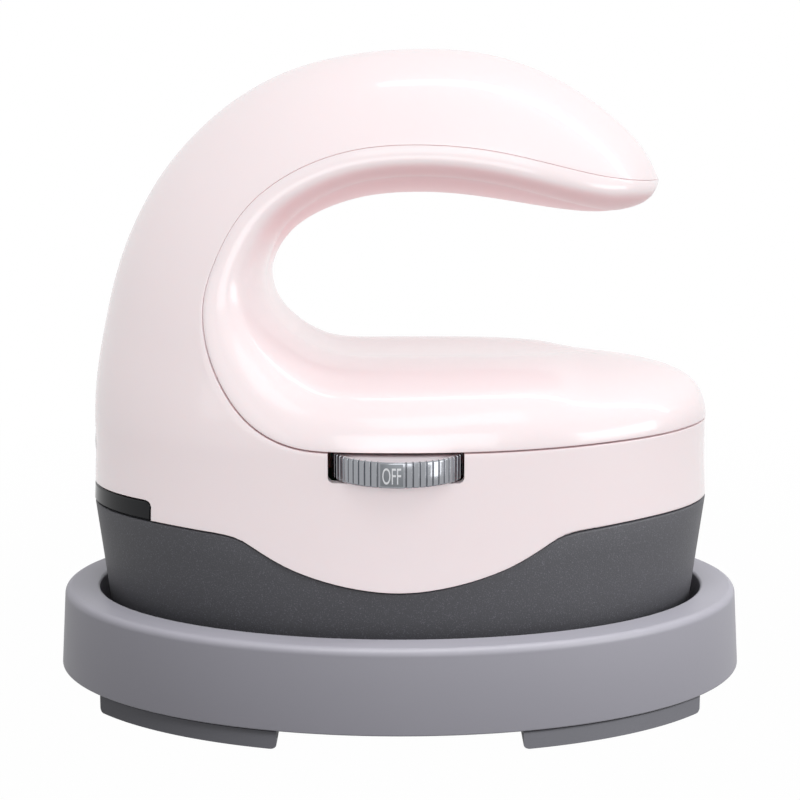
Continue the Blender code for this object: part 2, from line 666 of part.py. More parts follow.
def screw(name, x, y, seat, tip, parent=None):
    """Pan head screw standing on its seat, its shank going down to the tip."""
    profile = [(0, tip), (SCREW_SHANK, tip + GAP), (SCREW_SHANK, seat), (SCREW_HEAD_RADIUS, seat),
               (SCREW_HEAD_RADIUS, seat + SCREW_HEAD / 2), (SCREW_HEAD_RADIUS / 2, seat + SCREW_HEAD),
               (0, seat + SCREW_HEAD)]
    return turned(name, profile, "steel", (x, y, 0), SMALL_STEPS, parent)


def skirt_half_sizes(z):
    """Half length and half width of the skirt's outer face at a height."""
    top = WAVE_LOW_Z + WAVE_RISE
    share = np.clip((z - SKIRT_FOOT_Z) / (top - SKIRT_FOOT_Z), 0, 1)
    length = SKIRT_FOOT_HALF_LENGTH + (BODY_HALF_LENGTH + SKIRT_FLARE - SKIRT_FOOT_HALF_LENGTH) * share
    width = SKIRT_FOOT_HALF_WIDTH + (BODY_HALF_WIDTH - SKIRT_FOOT_HALF_WIDTH) * share
    return length, width


def make_shells():
    """Outer shell and grip cover, parted along the seam."""
    grid, out = body_grid()
    points = near_points(grid)
    normals = grid_normals(points) * wall_shares(grid)[:, None, None]
    seam_column = STRIP_STEPS + COVER_STEPS
    shift = np.stack([out[:, 0], np.zeros(len(out)), out[:, 1]], axis=1) * GAP / 2
    cover = points[:, :seam_column + 1].copy()
    cover[:, -1] -= shift
    shell = points[:, seam_column:].copy()
    shell[:, 0] += shift
    cover[0] = cover[0, -1]
    cover[-1] = cover[-1, -1]
    shell[-1] = shell[-1, 0]
    cover_piece = thin_wall("grip_cover", cover, normals[:, :seam_column + 1], COVER_WALL, "pink_shell")
    shell_piece = thin_wall("outer_shell", shell, normals[:, seam_column:], SHELL_WALL, "pink_shell")
    return shell_piece, cover_piece


def cut_shell(shell):
    """Wavy lower edge, dial window, lens notch and bush hole, and the ribs that stand on the frame."""
    top = LENS_TOP_Z + GAP
    near = LENS_REACH_X + GAP
    around = np.linspace(0, math.pi, AROUND_STEPS // 2 + 1)
    line = [(x, float(wave_z(x))) for x in BODY_HALF_LENGTH * np.cos(around) if x > near + OVERRUN]
    foot = WAVE_LOW_Z - OVERRUN * 2
    outline = [(BODY_LENGTH, foot), (BODY_LENGTH, line[0][1]), *line[1:], (near, float(wave_z(near))),
               (near, top - LENS_CORNER), (near - LENS_CORNER, top), (-BODY_LENGTH, top), (-BODY_LENGTH, foot)]
    trim = prism("trim_cutter", outline, -BODY_WIDTH, BODY_WIDTH, "pink_shell")
    combine(shell, trim, "DIFFERENCE")
    low = DIAL_LOW_Z - WINDOW_SIDE_GAP
    left = WINDOW_X - WINDOW_LENGTH / 2
    right = WINDOW_X + WINDOW_LENGTH / 2
    outline = [(left, SEAM_Z + OVERRUN), (left, low + WINDOW_CORNER), (left + WINDOW_CORNER, low),
               (right - WINDOW_CORNER, low), (right, low + WINDOW_CORNER), (right, SEAM_Z + OVERRUN)]
    window = prism("window_cutter", outline, -BODY_HALF_WIDTH - OVERRUN, DIAL_Y, "pink_shell")
    combine(shell, window, "DIFFERENCE")
    hole = rod("bush_cutter", BUSH_RADIUS + GAP, -BODY_LENGTH, LENS_REACH_X, "pink_shell",
               (0, 0, BUSH_Z), ROUND_STEPS, None, "X")
    combine(shell, hole, "DIFFERENCE")
    stand = FRAME_TOP_Z + GAP
    rib_x = frame_screw_places()[0][0] - SCREW_HEAD_RADIUS - RIB_SCREW_GAP - RIB_THICK / 2
    board_share = 1 - ((rib_x - RIB_THICK / 2) / BOARD_HALF_LENGTH) ** 2
    inner = BOARD_HALF_WIDTH * math.sqrt(max(board_share, 0.0)) + RIB_BOARD_GAP
    hang = inner + RIB_HANG
    wall = float(half_width(rib_x + RIB_THICK / 2, RIB_TOP_Z)) - SHELL_WALL / 2
    for x_side in (1, -1):
        for y_side in (1, -1):
            x = x_side * rib_x
            outline = [(inner * y_side, stand), (hang * y_side, stand), (hang * y_side, RIB_TURN_Z),
                       (wall * y_side, RIB_TURN_Z), (wall * y_side, RIB_TOP_Z), (inner * y_side, RIB_TOP_Z)]
            rib = prism("rib_former", outline, x - RIB_THICK / 2, x + RIB_THICK / 2, "pink_shell", "X")
            combine(shell, rib, "UNION")


def make_skirt():
    """Skirt: a tapered oval wall with a wavy top and a ledge inside."""
    sections = []
    for angle in np.linspace(0, 2 * math.pi, AROUND_STEPS, endpoint=False):
        c, s = math.cos(angle), math.sin(angle)
        top = float(wave_z(BODY_HALF_LENGTH * c)) - GAP
        ring = []
        for z in (top, (top + LEDGE_TOP_Z) / 2, LEDGE_LOW_Z, SKIRT_FOOT_Z):
            a, b = skirt_half_sizes(z)
            ring.append((a * c, b * s, z))
        ring[0] = (*ring[0][:2], float(wave_z(ring[0][0])) - GAP)
        inner = ((SKIRT_WALL, SKIRT_FOOT_Z), (SKIRT_WALL, LEDGE_LOW_Z), (LEDGE_WIDTH, LEDGE_LOW_Z),
                 (LEDGE_WIDTH, LEDGE_TOP_Z), (SKIRT_WALL, LEDGE_TOP_Z), (SKIRT_WALL, top))
        for inset, z in inner:
            a, b = skirt_half_sizes(z)
            ring.append(((a - inset) * c, (b - inset) * s, z))
        ring[-1] = (*ring[-1][:2], float(wave_z(ring[-1][0])) - GAP)
        sections.append(ring)
    skirt = loft("skirt", sections, "charcoal_skirt")
    drill = many_rods("ledge_cutter", frame_screw_places(), SCREW_DRILL, FRAME_SCREW_TIP_Z - GAP,
                      LEDGE_TOP_Z + OVERRUN)
    return combine(skirt, drill, "DIFFERENCE")


def frame_screw_places():
    """Middle line of the skirt ledge at the four screw angles."""
    a, b = skirt_half_sizes(LEDGE_TOP_Z)
    inset = (LEDGE_WIDTH + SKIRT_WALL) / 2
    places = []
    for turn in (FRAME_SCREW_ANGLE, 180 - FRAME_SCREW_ANGLE, 180 + FRAME_SCREW_ANGLE, -FRAME_SCREW_ANGLE):
        angle = math.radians(turn)
        places.append(((a - inset) * math.cos(angle), (b - inset) * math.sin(angle)))
    return places


def make_lens():
    """Dark band in the notch at the back, bent to the wall, with rounded upper corners."""
    limit = math.acos(-LENS_REACH_X / BODY_HALF_LENGTH)
    sections = []
    for turn in np.linspace(-1, 1, 25):
        angle = math.pi + limit * turn
        c, s = math.cos(angle), math.sin(angle)
        x = BODY_HALF_LENGTH * c
        low = float(wave_z(x))
        inward = min(x - BODY_HALF_LENGTH * math.cos(math.pi + limit), 0.0)
        corner = max(LENS_CORNER + inward, 0.0)
        top = LENS_TOP_Z - LENS_CORNER + math.sqrt(max(LENS_CORNER ** 2 - corner ** 2, 0.0))
        ring = []
        for inset, z in ((0, low), (0, top), (LENS_WALL, top), (LENS_WALL, low)):
            a = float(wall_half_length(z)) - inset
            across = min(a * c, LENS_REACH_X)
            reach = math.sqrt(max(1 - (across / a) ** 2, 0.0))
            ring.append((across, math.copysign((BODY_HALF_WIDTH - inset) * reach, s), z))
        sections.append(ring)
    return loft("indicator_lens", sections, "dark_lens", closed=False)


def make_bush():
    """Bush in the back wall for the mains lead, open through its bore."""
    back = -BODY_HALF_LENGTH + BUSH_INSET
    bend = math.sqrt(1 - (BUSH_COLLAR_RADIUS / BODY_HALF_WIDTH) ** 2)
    inner_face = -BODY_HALF_LENGTH * bend + SHELL_WALL + BUSH_INSET
    profile = [(BUSH_BORE_RADIUS, back), (BUSH_RADIUS, back), (BUSH_RADIUS, inner_face),
               (BUSH_COLLAR_RADIUS, inner_face + GAP), (BUSH_COLLAR_RADIUS, inner_face + BUSH_COLLAR),
               (BUSH_RADIUS, inner_face + BUSH_COLLAR), (BUSH_RADIUS, back + BUSH_LENGTH),
               (BUSH_BORE_RADIUS, back + BUSH_LENGTH)]
    return turned("cord_gland", profile, "black_plastic", (0, 0, BUSH_Z), ROUND_STEPS, None, "X")


def dial_outline():
    """Knurled rim: square ribs all round, with smooth plates at the switch stops."""
    points = []
    for rib in range(DIAL_RIBS):
        for share, low in ((0.0, True), (0.25, False), (0.5, False), (0.75, True)):
            turn = DIAL_REST_TURN + 360.0 * (rib + share) / DIAL_RIBS
            place = (turn - DIAL_REST_TURN + DIAL_PLATE_TURN / 2) % 360.0
            on_plate = place % DIAL_STOP_STEP < DIAL_PLATE_TURN and place < DIAL_STOPS * DIAL_STOP_STEP
            radius = DIAL_RADIUS - (DIAL_RIB_DEPTH if low and not on_plate else 0.0)
            angle = math.radians(turn)
            points.append((radius * math.cos(angle), radius * math.sin(angle)))
    return points


def make_dial():
    """Thumbwheel and its shaft on the dial's axis."""
    axis = bpy.data.objects.new("dial_axis", None)
    axis.location = (DIAL_X, DIAL_Y, DIAL_LOW_Z)
    bpy.context.collection.objects.link(axis)
    outline = np.array(dial_outline())
    shrink = 1 - DIAL_BEVEL / DIAL_RADIUS
    sections = []
    for share, z in ((shrink, 0), (1, DIAL_BEVEL), (1, DIAL_THICK - DIAL_BEVEL), (shrink, DIAL_THICK)):
        sections.append([(x * share, y * share, z) for x, y in outline])
    wheel = loft("thumbwheel", sections, "chrome", False, (0, 0, 0), axis)
    hub = rod("hub_former", DIAL_HUB_RADIUS, -DIAL_HUB_DROP, DIAL_HUB_DROP, "chrome", (0, 0, 0),
              ROUND_STEPS, axis)
    combine(wheel, hub, "UNION")
    bore = rod("hub_cutter", SHAFT_RADIUS + GAP, -OVERRUN, DIAL_THICK + OVERRUN, "chrome", (0, 0, 0),
               ROUND_STEPS, axis)
    combine(wheel, bore, "DIFFERENCE")
    rod("dial_shaft", SHAFT_RADIUS, -SHAFT_DEPTH, DIAL_THICK - SHAFT_TOP_SINK, "steel", (0, 0, 0),
        SMALL_STEPS, axis)


def element_path():
    """Hairpin of the heating tube: two legs, a half turn in front and tails that bend up at the back."""
    level = PLATE_TOP_Z
    points = []
    for angle in np.linspace(-90, 90, 17):
        turn = math.radians(angle)
        points.append((ELEMENT_BEND_X + ELEMENT_BEND * math.cos(turn), ELEMENT_BEND * math.sin(turn), level))
    leg = np.linspace(ELEMENT_BEND_X, ELEMENT_TAIL_X, 5)[1:]
    far = [(x, ELEMENT_BEND, level) for x in leg]
    for turn in np.radians((30, 60, 90)):
        far.append((ELEMENT_TAIL_X - ELEMENT_TAIL_REACH * math.sin(turn), ELEMENT_BEND,
                    level + ELEMENT_TAIL_REACH * (1 - math.cos(turn))))
    far.append((ELEMENT_TAIL_X - ELEMENT_TAIL_REACH, ELEMENT_BEND, level + ELEMENT_TAIL_RISE))
    near = [(x, -y, z) for x, y, z in far[::-1]]
    return near + points + far


def post_places():
    """Screw posts of the heating plate."""
    return [(POST_FRONT_X, 0.0), (POST_REAR_X, POST_REAR_Y), (POST_REAR_X, -POST_REAR_Y)]


def make_hot_stack():
    """Heating plate, element, gasket, shield, spacers and their screws, from the bottom up."""
    top = PLATE_TOP_Z
    plate = oval_slab("soleplate", PLATE_HALF_LENGTH, PLATE_HALF_WIDTH, PLATE_LOW_Z, top, "coated_plate",
                      PLATE_BEVEL)
    posts = many_rods("post_former", post_places(), PLATE_POST_RADIUS, top - PLATE_POST_SINK, PLATE_POST_TOP_Z)
    combine(plate, posts, "UNION")
    drill = many_rods("post_cutter", post_places(), SCREW_DRILL, DRILL_FLOOR_Z, PLATE_POST_TOP_Z + OVERRUN)
    combine(plate, drill, "DIFFERENCE")
    groove = tube("groove_cutter", element_path(), ELEMENT_RADIUS + GAP, "steel")
    combine(plate, groove, "DIFFERENCE")
    tube("heating_element", element_path(), ELEMENT_RADIUS, "steel")
    half_length = PLATE_HALF_LENGTH - GASKET_INSET
    half_width_ = PLATE_HALF_WIDTH - GASKET_INSET
    low = top + GAP
    high = LEDGE_LOW_Z - GAP
    profile = [(half_length, half_width_, low), (half_length, half_width_, high),
               (half_length - GASKET_WALL, half_width_ - GASKET_WALL, high),
               (half_length - GASKET_WALL, half_width_ - GASKET_WALL, low)]
    oval_turn("soleplate_gasket", profile, "silicone", OVAL_STEPS)
    shield_low = PLATE_POST_TOP_Z + GAP
    shield_top = shield_low + SHIELD_THICK
    outline = []
    limit = math.acos(SHIELD_REAR_X / SHIELD_HALF_LENGTH)
    for angle in np.linspace(-limit, limit, 33):
        outline.append((SHIELD_HALF_LENGTH * math.cos(angle), SHIELD_HALF_WIDTH * math.sin(angle)))
    shield = prism("heat_shield", outline, shield_low, shield_top, "steel", "Z")
    holes = many_rods("shield_cutter", post_places(), SCREW_DRILL, shield_low - OVERRUN / 2,
                      shield_top + OVERRUN / 2)
    combine(shield, holes, "DIFFERENCE")
    seat = FRAME_TOP_Z + GAP
    for number, (x, y) in enumerate(post_places(), start=1):
        profile = [(SCREW_DRILL, shield_top + GAP), (SPACER_RADIUS, shield_top + GAP),
                   (SPACER_RADIUS, FRAME_LOW_Z - GAP), (SCREW_DRILL, FRAME_LOW_Z - GAP)]
        turned(f"heat_spacer_{number}", profile, "ceramic", (x, y, 0), SMALL_STEPS)
        screw(f"soleplate_screw_{number}", x, y, seat, DRILL_FLOOR_Z + GAP)
    rod("thermal_fuse", FUSE_RADIUS, -FUSE_LENGTH / 2, FUSE_LENGTH / 2, "ceramic",
        (SENSOR_X - FUSE_SENSOR_REACH, 0, low + FUSE_RADIUS), SMALL_STEPS, None, "X")
    lug = rod("thermistor", SENSOR_LUG_RADIUS, low, low + SENSOR_LUG_THICK, "steel", (SENSOR_X, 0, 0))
    bead = rod("bead_former", SENSOR_BEAD_RADIUS, -SENSOR_BEAD_LENGTH, 0, "ceramic",
               (SENSOR_X - SCREW_HEAD_RADIUS - GAP, 0, low + SENSOR_BEAD_RADIUS + GAP / 2),
               SMALL_STEPS, None, "X")
    combine(lug, bead, "UNION")
    drill = rod("lug_cutter", SCREW_DRILL, low - OVERRUN, low + OVERRUN, "steel", (SENSOR_X, 0, 0))
    combine(lug, drill, "DIFFERENCE")
    pit = rod("sensor_pit_cutter", SCREW_DRILL, DRILL_FLOOR_Z, low + OVERRUN, "steel", (SENSOR_X, 0, 0))
    combine(plate, pit, "DIFFERENCE")
    screw("sensor_screw", SENSOR_X, 0, low + SENSOR_LUG_THICK + GAP, DRILL_FLOOR_Z + GAP)


def board_post_places():
    """Four posts under the circuit board."""
    return [(x * BOARD_POST_X, y * BOARD_POST_Y) for x in (1, -1) for y in (1, -1)]


def make_frame():
    """Inner frame on the skirt ledge, with the posts of the board and its openings."""
    low, top = FRAME_LOW_Z, FRAME_TOP_Z
    a, b = skirt_half_sizes(low)
    frame = oval_slab("inner_frame", a - SKIRT_WALL - GAP, b - SKIRT_WALL - GAP, low, top, "black_plastic")
    posts = many_rods("board_post_former", board_post_places(), BOARD_POST_RADIUS, low + FRAME_THICK / 2,
                      BOARD_LOW_Z - GAP)
    combine(frame, posts, "UNION")
    middle = (low + top) / 2
    slot_width = (ELEMENT_BEND + LEAD_RADIUS + FRAME_SLOT_GAP) * 2
    slot = block("slot_cutter", (FRAME_SLOT_LENGTH, slot_width, OVERRUN * 2),
                 (FRAME_SLOT_X, 0, middle), "steel")
    combine(frame, slot, "DIFFERENCE")
    window = block("frame_window_cutter", (FRAME_WINDOW_LENGTH, FRAME_WINDOW_WIDTH, OVERRUN * 2),
                   (FRAME_WINDOW_X, 0, middle), "steel")
    combine(frame, window, "DIFFERENCE")
    through = many_rods("frame_cutter", post_places() + frame_screw_places(), SCREW_DRILL, low - OVERRUN,
                        top + OVERRUN)
    combine(frame, through, "DIFFERENCE")
    sockets = many_rods("board_post_cutter", board_post_places(), SCREW_DRILL,
                        BOARD_LOW_Z - BOARD_SCREW_DEPTH - GAP, BOARD_LOW_Z + OVERRUN)
    combine(frame, sockets, "DIFFERENCE")
    for number, (x, y) in enumerate(frame_screw_places(), start=1):
        screw(f"frame_screw_{number}", x, y, top + GAP, FRAME_SCREW_TIP_Z)


def make_board():
    """Circuit board, its screws and the parts that stand on it."""
    top = BOARD_TOP_Z
    board = oval_slab("circuit_board", BOARD_HALF_LENGTH, BOARD_HALF_WIDTH, BOARD_LOW_Z, top, "board_green",
                      0.0, OVAL_STEPS)
    holes = many_rods("board_cutter", board_post_places(), SCREW_DRILL, BOARD_LOW_Z - OVERRUN, top + OVERRUN)
    combine(board, holes, "DIFFERENCE")
    for number, (x, y) in enumerate(board_post_places(), start=1):
        screw(f"board_screw_{number}", x, y, top + GAP, BOARD_LOW_Z - BOARD_SCREW_DEPTH)
    stand = top + GAP
    switch_top = DIAL_LOW_Z - DIAL_HUB_DROP - GAP - SWITCH_NECK
    body = block("rotary_switch", (SWITCH_LENGTH, SWITCH_WIDTH, switch_top - stand),
                 (DIAL_X, DIAL_Y + SWITCH_Y_SHIFT, (switch_top + stand) / 2), "black_plastic", PART_EDGE)
    neck = rod("neck_former", SWITCH_NECK_RADIUS, -OVERRUN, SWITCH_NECK, "black_plastic",
               (DIAL_X, DIAL_Y, switch_top))
    combine(body, neck, "UNION")
    bore = rod("switch_cutter", SHAFT_RADIUS + GAP, DIAL_LOW_Z - SHAFT_DEPTH - GAP, DIAL_LOW_Z + OVERRUN,
               "steel", (DIAL_X, DIAL_Y, 0))
    combine(body, bore, "DIFFERENCE")
    block("control_chip", (CHIP_SIZE, CHIP_SIZE, CHIP_THICK),
          (0, CHIP_INSET - BOARD_HALF_WIDTH, stand + CHIP_THICK / 2), "black_plastic", PART_EDGE)
    block("capacitor", (CAPACITOR_LENGTH, CAPACITOR_WIDTH, CAPACITOR_HEIGHT),
          (0, BOARD_HALF_WIDTH - CAPACITOR_INSET, stand + CAPACITOR_HEIGHT / 2), "ceramic", PART_EDGE)
    terminal_x = -BOARD_POST_X + SCREW_HEAD_RADIUS + TERMINAL_POST_GAP + TERMINAL_LENGTH / 2
    block("terminal_block", (TERMINAL_LENGTH, TERMINAL_WIDTH, TERMINAL_HEIGHT),
          (terminal_x, 0, stand + TERMINAL_HEIGHT / 2), "black_plastic", PART_EDGE)
    triac_x = BOARD_POST_X - TRIAC_POST_REACH
    block("triac", (TRIAC_WIDTH, TRIAC_THICK, TRIAC_HEIGHT), (triac_x, 0, stand + TRIAC_HEIGHT / 2),
          "black_plastic", PART_EDGE)
    sink_y = TRIAC_THICK / 2 + GAP
    outline = [(sink_y, stand), (sink_y + SINK_FLANGE, stand), (sink_y + SINK_FLANGE, stand + SINK_THICK),
               (sink_y + SINK_THICK, stand + SINK_THICK), (sink_y + SINK_THICK, stand + SINK_HEIGHT),
               (sink_y, stand + SINK_HEIGHT)]
    prism("heat_sink", outline, triac_x - SINK_WIDTH / 2, triac_x + SINK_WIDTH / 2, "steel", "X")
    rod("tilt_sensor", TILT_RADIUS, stand, stand + TILT_HEIGHT, "steel",
        (BOARD_POST_X + TILT_RADIUS * 2, 0, 0), SMALL_STEPS)
    led_x = -BOARD_HALF_LENGTH + LED_RADIUS * 2
    rod("status_led", LED_RADIUS, stand, stand + LED_HEIGHT, "clear_plastic", (led_x, 0, 0), SMALL_STEPS)
    pipe_back = -BODY_HALF_LENGTH + LENS_WALL + GAP * 2
    pipe_front = led_x - LED_RADIUS - PIPE_GAP
    block("light_pipe", (pipe_front - pipe_back, PIPE_WIDTH, PIPE_HEIGHT),
          ((pipe_back + pipe_front) / 2, 0, (float(wave_z(-BODY_HALF_LENGTH)) + LENS_TOP_Z) / 2),
          "clear_plastic", PART_EDGE)


def make_leads():
    """Sleeved leads from the element's tails up to the underside of the board."""
    tail_x = ELEMENT_TAIL_X - ELEMENT_TAIL_REACH
    tail_z = PLATE_TOP_Z + ELEMENT_TAIL_RISE + GAP
    end_x = LEAD_END_INSET - BOARD_HALF_LENGTH
    end_z = BOARD_LOW_Z - GAP
    for number, side in ((1, -1), (2, 1)):
        knots = np.linspace(0, 1, 4)
        xs = (tail_x, tail_x, end_x, end_x)
        ys = (ELEMENT_BEND, ELEMENT_BEND, ELEMENT_BEND / 2, ELEMENT_BEND / 2)
        zs = (tail_z, *(tail_z + (end_z - tail_z) * share for share in LEAD_KNEE_SHARES), end_z)
        points = []
        for share in np.linspace(0, 1, 9):
            x, y, z = [float(curve_through(knots, values, share)) for values in (xs, ys, zs)]
            points.append((x, y * side, z))
        tube(f"heater_lead_{number}", points, LEAD_RADIUS, "lead_sleeve")


def foot_rings(profile, spare, x_side, y_side, steps=9):
    """Rings of a profile of (inset, height) along the tray's outline, from a square cut at FOOT_END_X."""
    start = math.radians(FOOT_FROM_ANGLE) - spare / TRAY_HALF_WIDTH
    sections = []
    for share in np.linspace(0, 1, steps):
        ring = []
        for inset, z in profile:
            a, b = TRAY_HALF_LENGTH - inset, TRAY_HALF_WIDTH - inset
            angle = start + (math.acos((FOOT_END_X - spare) / a) - start) * share
            ring.append((a * math.cos(angle) * x_side, b * math.sin(angle) * y_side, z))
        sections.append(ring)
    return sections


def make_tray():
    """Safety tray: an oval dish with a thick flat-topped rim, on four arc feet with tongues."""
    a, b = TRAY_HALF_LENGTH, TRAY_HALF_WIDTH
    inner_a, inner_b = TRAY_INNER_HALF_LENGTH, TRAY_INNER_HALF_WIDTH
    recess_a, recess_b = a - TRAY_RECESS_INSET, b - TRAY_RECESS_INSET
    profile = [(0, 0, TRAY_FLOOR_Z - TRAY_FLOOR_THICK),
               (recess_a - TRAY_LIP, recess_b - TRAY_LIP, TRAY_FLOOR_Z - TRAY_FLOOR_THICK),
               (recess_a, recess_b, TRAY_LOW_Z)]
    for turn in np.radians((0, 45, 90)):
        inset = TRAY_CORNER * (1 - math.sin(turn))
        profile.append((a - inset, b - inset, TRAY_LOW_Z + TRAY_CORNER * (1 - math.cos(turn))))
    for turn in np.radians((0, 30, 60, 90)):
        inset = TRAY_DRAFT + TRAY_FILLET * (1 - math.cos(turn))
        profile.append((a - inset, b - inset, TRAY_RIM_Z - TRAY_FILLET * (1 - math.sin(turn))))
    for turn in np.radians((90, 60, 30, 0)):
        inset = TRAY_LIP * (1 - math.cos(turn))
        profile.append((inner_a + inset, inner_b + inset, TRAY_RIM_Z - TRAY_LIP * (1 - math.sin(turn))))
    foot_a, foot_b = inner_a - TRAY_INNER_DRAFT, inner_b - TRAY_INNER_DRAFT
    profile += [(foot_a, foot_b, TRAY_FLOOR_Z + TRAY_LIP),
                (foot_a - TRAY_LIP, foot_b - TRAY_LIP, TRAY_FLOOR_Z)]
    profile.append((0, 0, TRAY_FLOOR_Z))
    tray = oval_turn("tray_base", profile, "tray_grey")
    tongue_in = FOOT_INSET + (FOOT_WIDTH - FOOT_TONGUE) / 2
    tongue_out = tongue_in + FOOT_TONGUE
    groove = [(tongue_in - GAP, TRAY_LOW_Z - OVERRUN), (tongue_in - GAP, TRAY_LOW_Z + FOOT_TONGUE_RISE),
              (tongue_out + GAP, TRAY_LOW_Z + FOOT_TONGUE_RISE), (tongue_out + GAP, TRAY_LOW_Z - OVERRUN)]
    foot = [(FOOT_INSET + FOOT_EDGE, 0), (FOOT_INSET, FOOT_EDGE), (FOOT_INSET, FOOT_HEIGHT),
            (tongue_in, FOOT_HEIGHT), (tongue_in, TRAY_LOW_Z + FOOT_TONGUE_RISE - GAP),
            (tongue_out, TRAY_LOW_Z + FOOT_TONGUE_RISE - GAP), (tongue_out, FOOT_HEIGHT),
            (FOOT_INSET + FOOT_WIDTH, FOOT_HEIGHT), (FOOT_INSET + FOOT_WIDTH, 0)]
    for name, x_side, y_side in (("foot_front_far", 1, 1), ("foot_rear_far", -1, 1),
                                 ("foot_rear_near", -1, -1), ("foot_front_near", 1, -1)):
        cutter = loft(f"{name}_cutter", foot_rings(groove, GAP, x_side, y_side), "tray_grey", False)
        combine(tray, cutter, "DIFFERENCE")
        loft(name, foot_rings(foot, 0, x_side, y_side), "foot_rubber", False)
    places = [(x * PAD_X, y * PAD_Y) for x in (1, -1) for y in (1, -1)]
    holes = many_rods("pad_cutter", places, PAD_PEG_RADIUS + GAP, TRAY_LOW_Z, TRAY_FLOOR_Z + OVERRUN)
    combine(tray, holes, "DIFFERENCE")
    top = PLATE_LOW_Z - GAP
    seat = TRAY_FLOOR_Z + GAP
    profile = [(0, TRAY_FLOOR_Z - TRAY_FLOOR_THICK), (PAD_PEG_RADIUS, TRAY_FLOOR_Z - TRAY_FLOOR_THICK),
               (PAD_PEG_RADIUS, seat), (PAD_RADIUS, seat), (PAD_RADIUS, top - PAD_EDGE),
               (PAD_RADIUS - PAD_EDGE, top), (0, top)]
    for number, (x, y) in enumerate(places, start=1):
        turned(f"rest_pad_{number}", profile, "silicone", (x, y, 0), ROUND_STEPS)


def main():
    """Clear the scene and build the press and its tray."""
    for existing in list(bpy.data.objects):
        bpy.data.objects.remove(existing, do_unlink=True)
    shell, _ = make_shells()
    cut_shell(shell)
    make_skirt()
    make_lens()
    make_bush()
    make_hot_stack()
    make_frame()
    make_board()
    make_leads()
    make_dial()
    make_tray()


main()
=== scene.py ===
"""Mini heat press in its safety tray: fine surfaces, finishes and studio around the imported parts."""
import json
import math

import bmesh
import bpy
import numpy as np
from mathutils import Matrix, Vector

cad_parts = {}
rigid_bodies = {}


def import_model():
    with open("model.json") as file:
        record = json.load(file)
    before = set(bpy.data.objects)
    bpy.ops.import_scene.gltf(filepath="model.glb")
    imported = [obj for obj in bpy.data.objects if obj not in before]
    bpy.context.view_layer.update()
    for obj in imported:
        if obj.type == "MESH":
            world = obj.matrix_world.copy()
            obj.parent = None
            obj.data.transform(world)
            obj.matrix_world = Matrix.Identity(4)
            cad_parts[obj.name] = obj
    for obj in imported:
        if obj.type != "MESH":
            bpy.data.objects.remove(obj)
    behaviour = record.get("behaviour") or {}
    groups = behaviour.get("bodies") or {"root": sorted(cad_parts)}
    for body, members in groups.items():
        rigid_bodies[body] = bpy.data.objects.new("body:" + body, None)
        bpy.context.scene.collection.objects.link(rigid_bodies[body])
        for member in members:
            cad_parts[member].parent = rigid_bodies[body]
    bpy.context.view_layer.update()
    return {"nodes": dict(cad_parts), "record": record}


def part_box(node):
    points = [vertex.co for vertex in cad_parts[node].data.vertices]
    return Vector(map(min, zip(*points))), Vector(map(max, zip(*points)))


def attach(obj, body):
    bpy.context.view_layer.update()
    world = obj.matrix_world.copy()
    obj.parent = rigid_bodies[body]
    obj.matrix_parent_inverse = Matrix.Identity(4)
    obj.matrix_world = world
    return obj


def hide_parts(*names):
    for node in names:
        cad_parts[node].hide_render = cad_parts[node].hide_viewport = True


bl_info = {
    "name": "Mini heat press",
    "version": (1, 0, 0),
    "blender": (4, 5, 0),
    "location": "3D View > Sidebar > Heat Press",
    "description": "Dresses a mini heat press and its safety tray, piece by piece",
    "category": "Object",
}

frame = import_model()

# Press body, in metres: the dome, the seam plane and the walls
BODY_HALF_LENGTH = 0.0584
BODY_HALF_WIDTH = 0.0340
SEAM_Z = 0.0504
DOME_RISE = 0.0699
BASE_FLARE = 0.0005
GAP = 0.0003
SHELL_WALL = 0.0022
COVER_WALL = 0.0020
NOSE_TAPER = 0.0130
NOSE_WALL_SHARE = 0.28
DOME_ROUNDNESS = 2.0
CREST_ROUNDNESS_LOSS = 0.30
GRIP_FILLET = 2.2
# Powers that crowd a row of points toward one end
SHELL_EASE = 1.9
WAVE_EASE = 1.5
DOME_EASE = 0.95
LENS_EASE = 1.6
# Points between two stations, and columns across half the palm strip, the cover's flank and the shell
STEPS = 12
STRIP_STEPS = 8
COVER_STEPS = 30
SHELL_STEPS = 36
# Outline of the dome: reach from the middle of the seam plane by angle, in shares of a half turn
DOME_ANGLE_SHARES = (0.0, 0.080, 0.150, 0.200, 0.240, 0.257, 0.300, 0.350, 0.405, 0.500, 0.617, 0.728,
                     0.813, 0.895, 0.950, 1.0)
DOME_REACH_SHARES = (1.0, 1.032, 1.110, 1.125, 1.137, 1.168, 1.193, 1.207, 1.213, 1.193, 1.176, 1.118,
                     1.060, 1.012, 1.002, 1.0)
# Wavy line between shell and skirt
WAVE_LOW_Z = 0.0254
WAVE_RISE = 0.0108
WAVE_TILT = 0.0005
WAVE_REACH_SHARES = (0.0, 0.06, 0.18, 0.30, 0.36, 0.42, 0.48, 0.52, 0.62, 0.75, 1.0)
WAVE_HEIGHT_SHARES = (0.0, 0.015, 0.12, 0.31, 0.45, 0.63, 0.82, 0.88, 0.93, 0.97, 1.0)
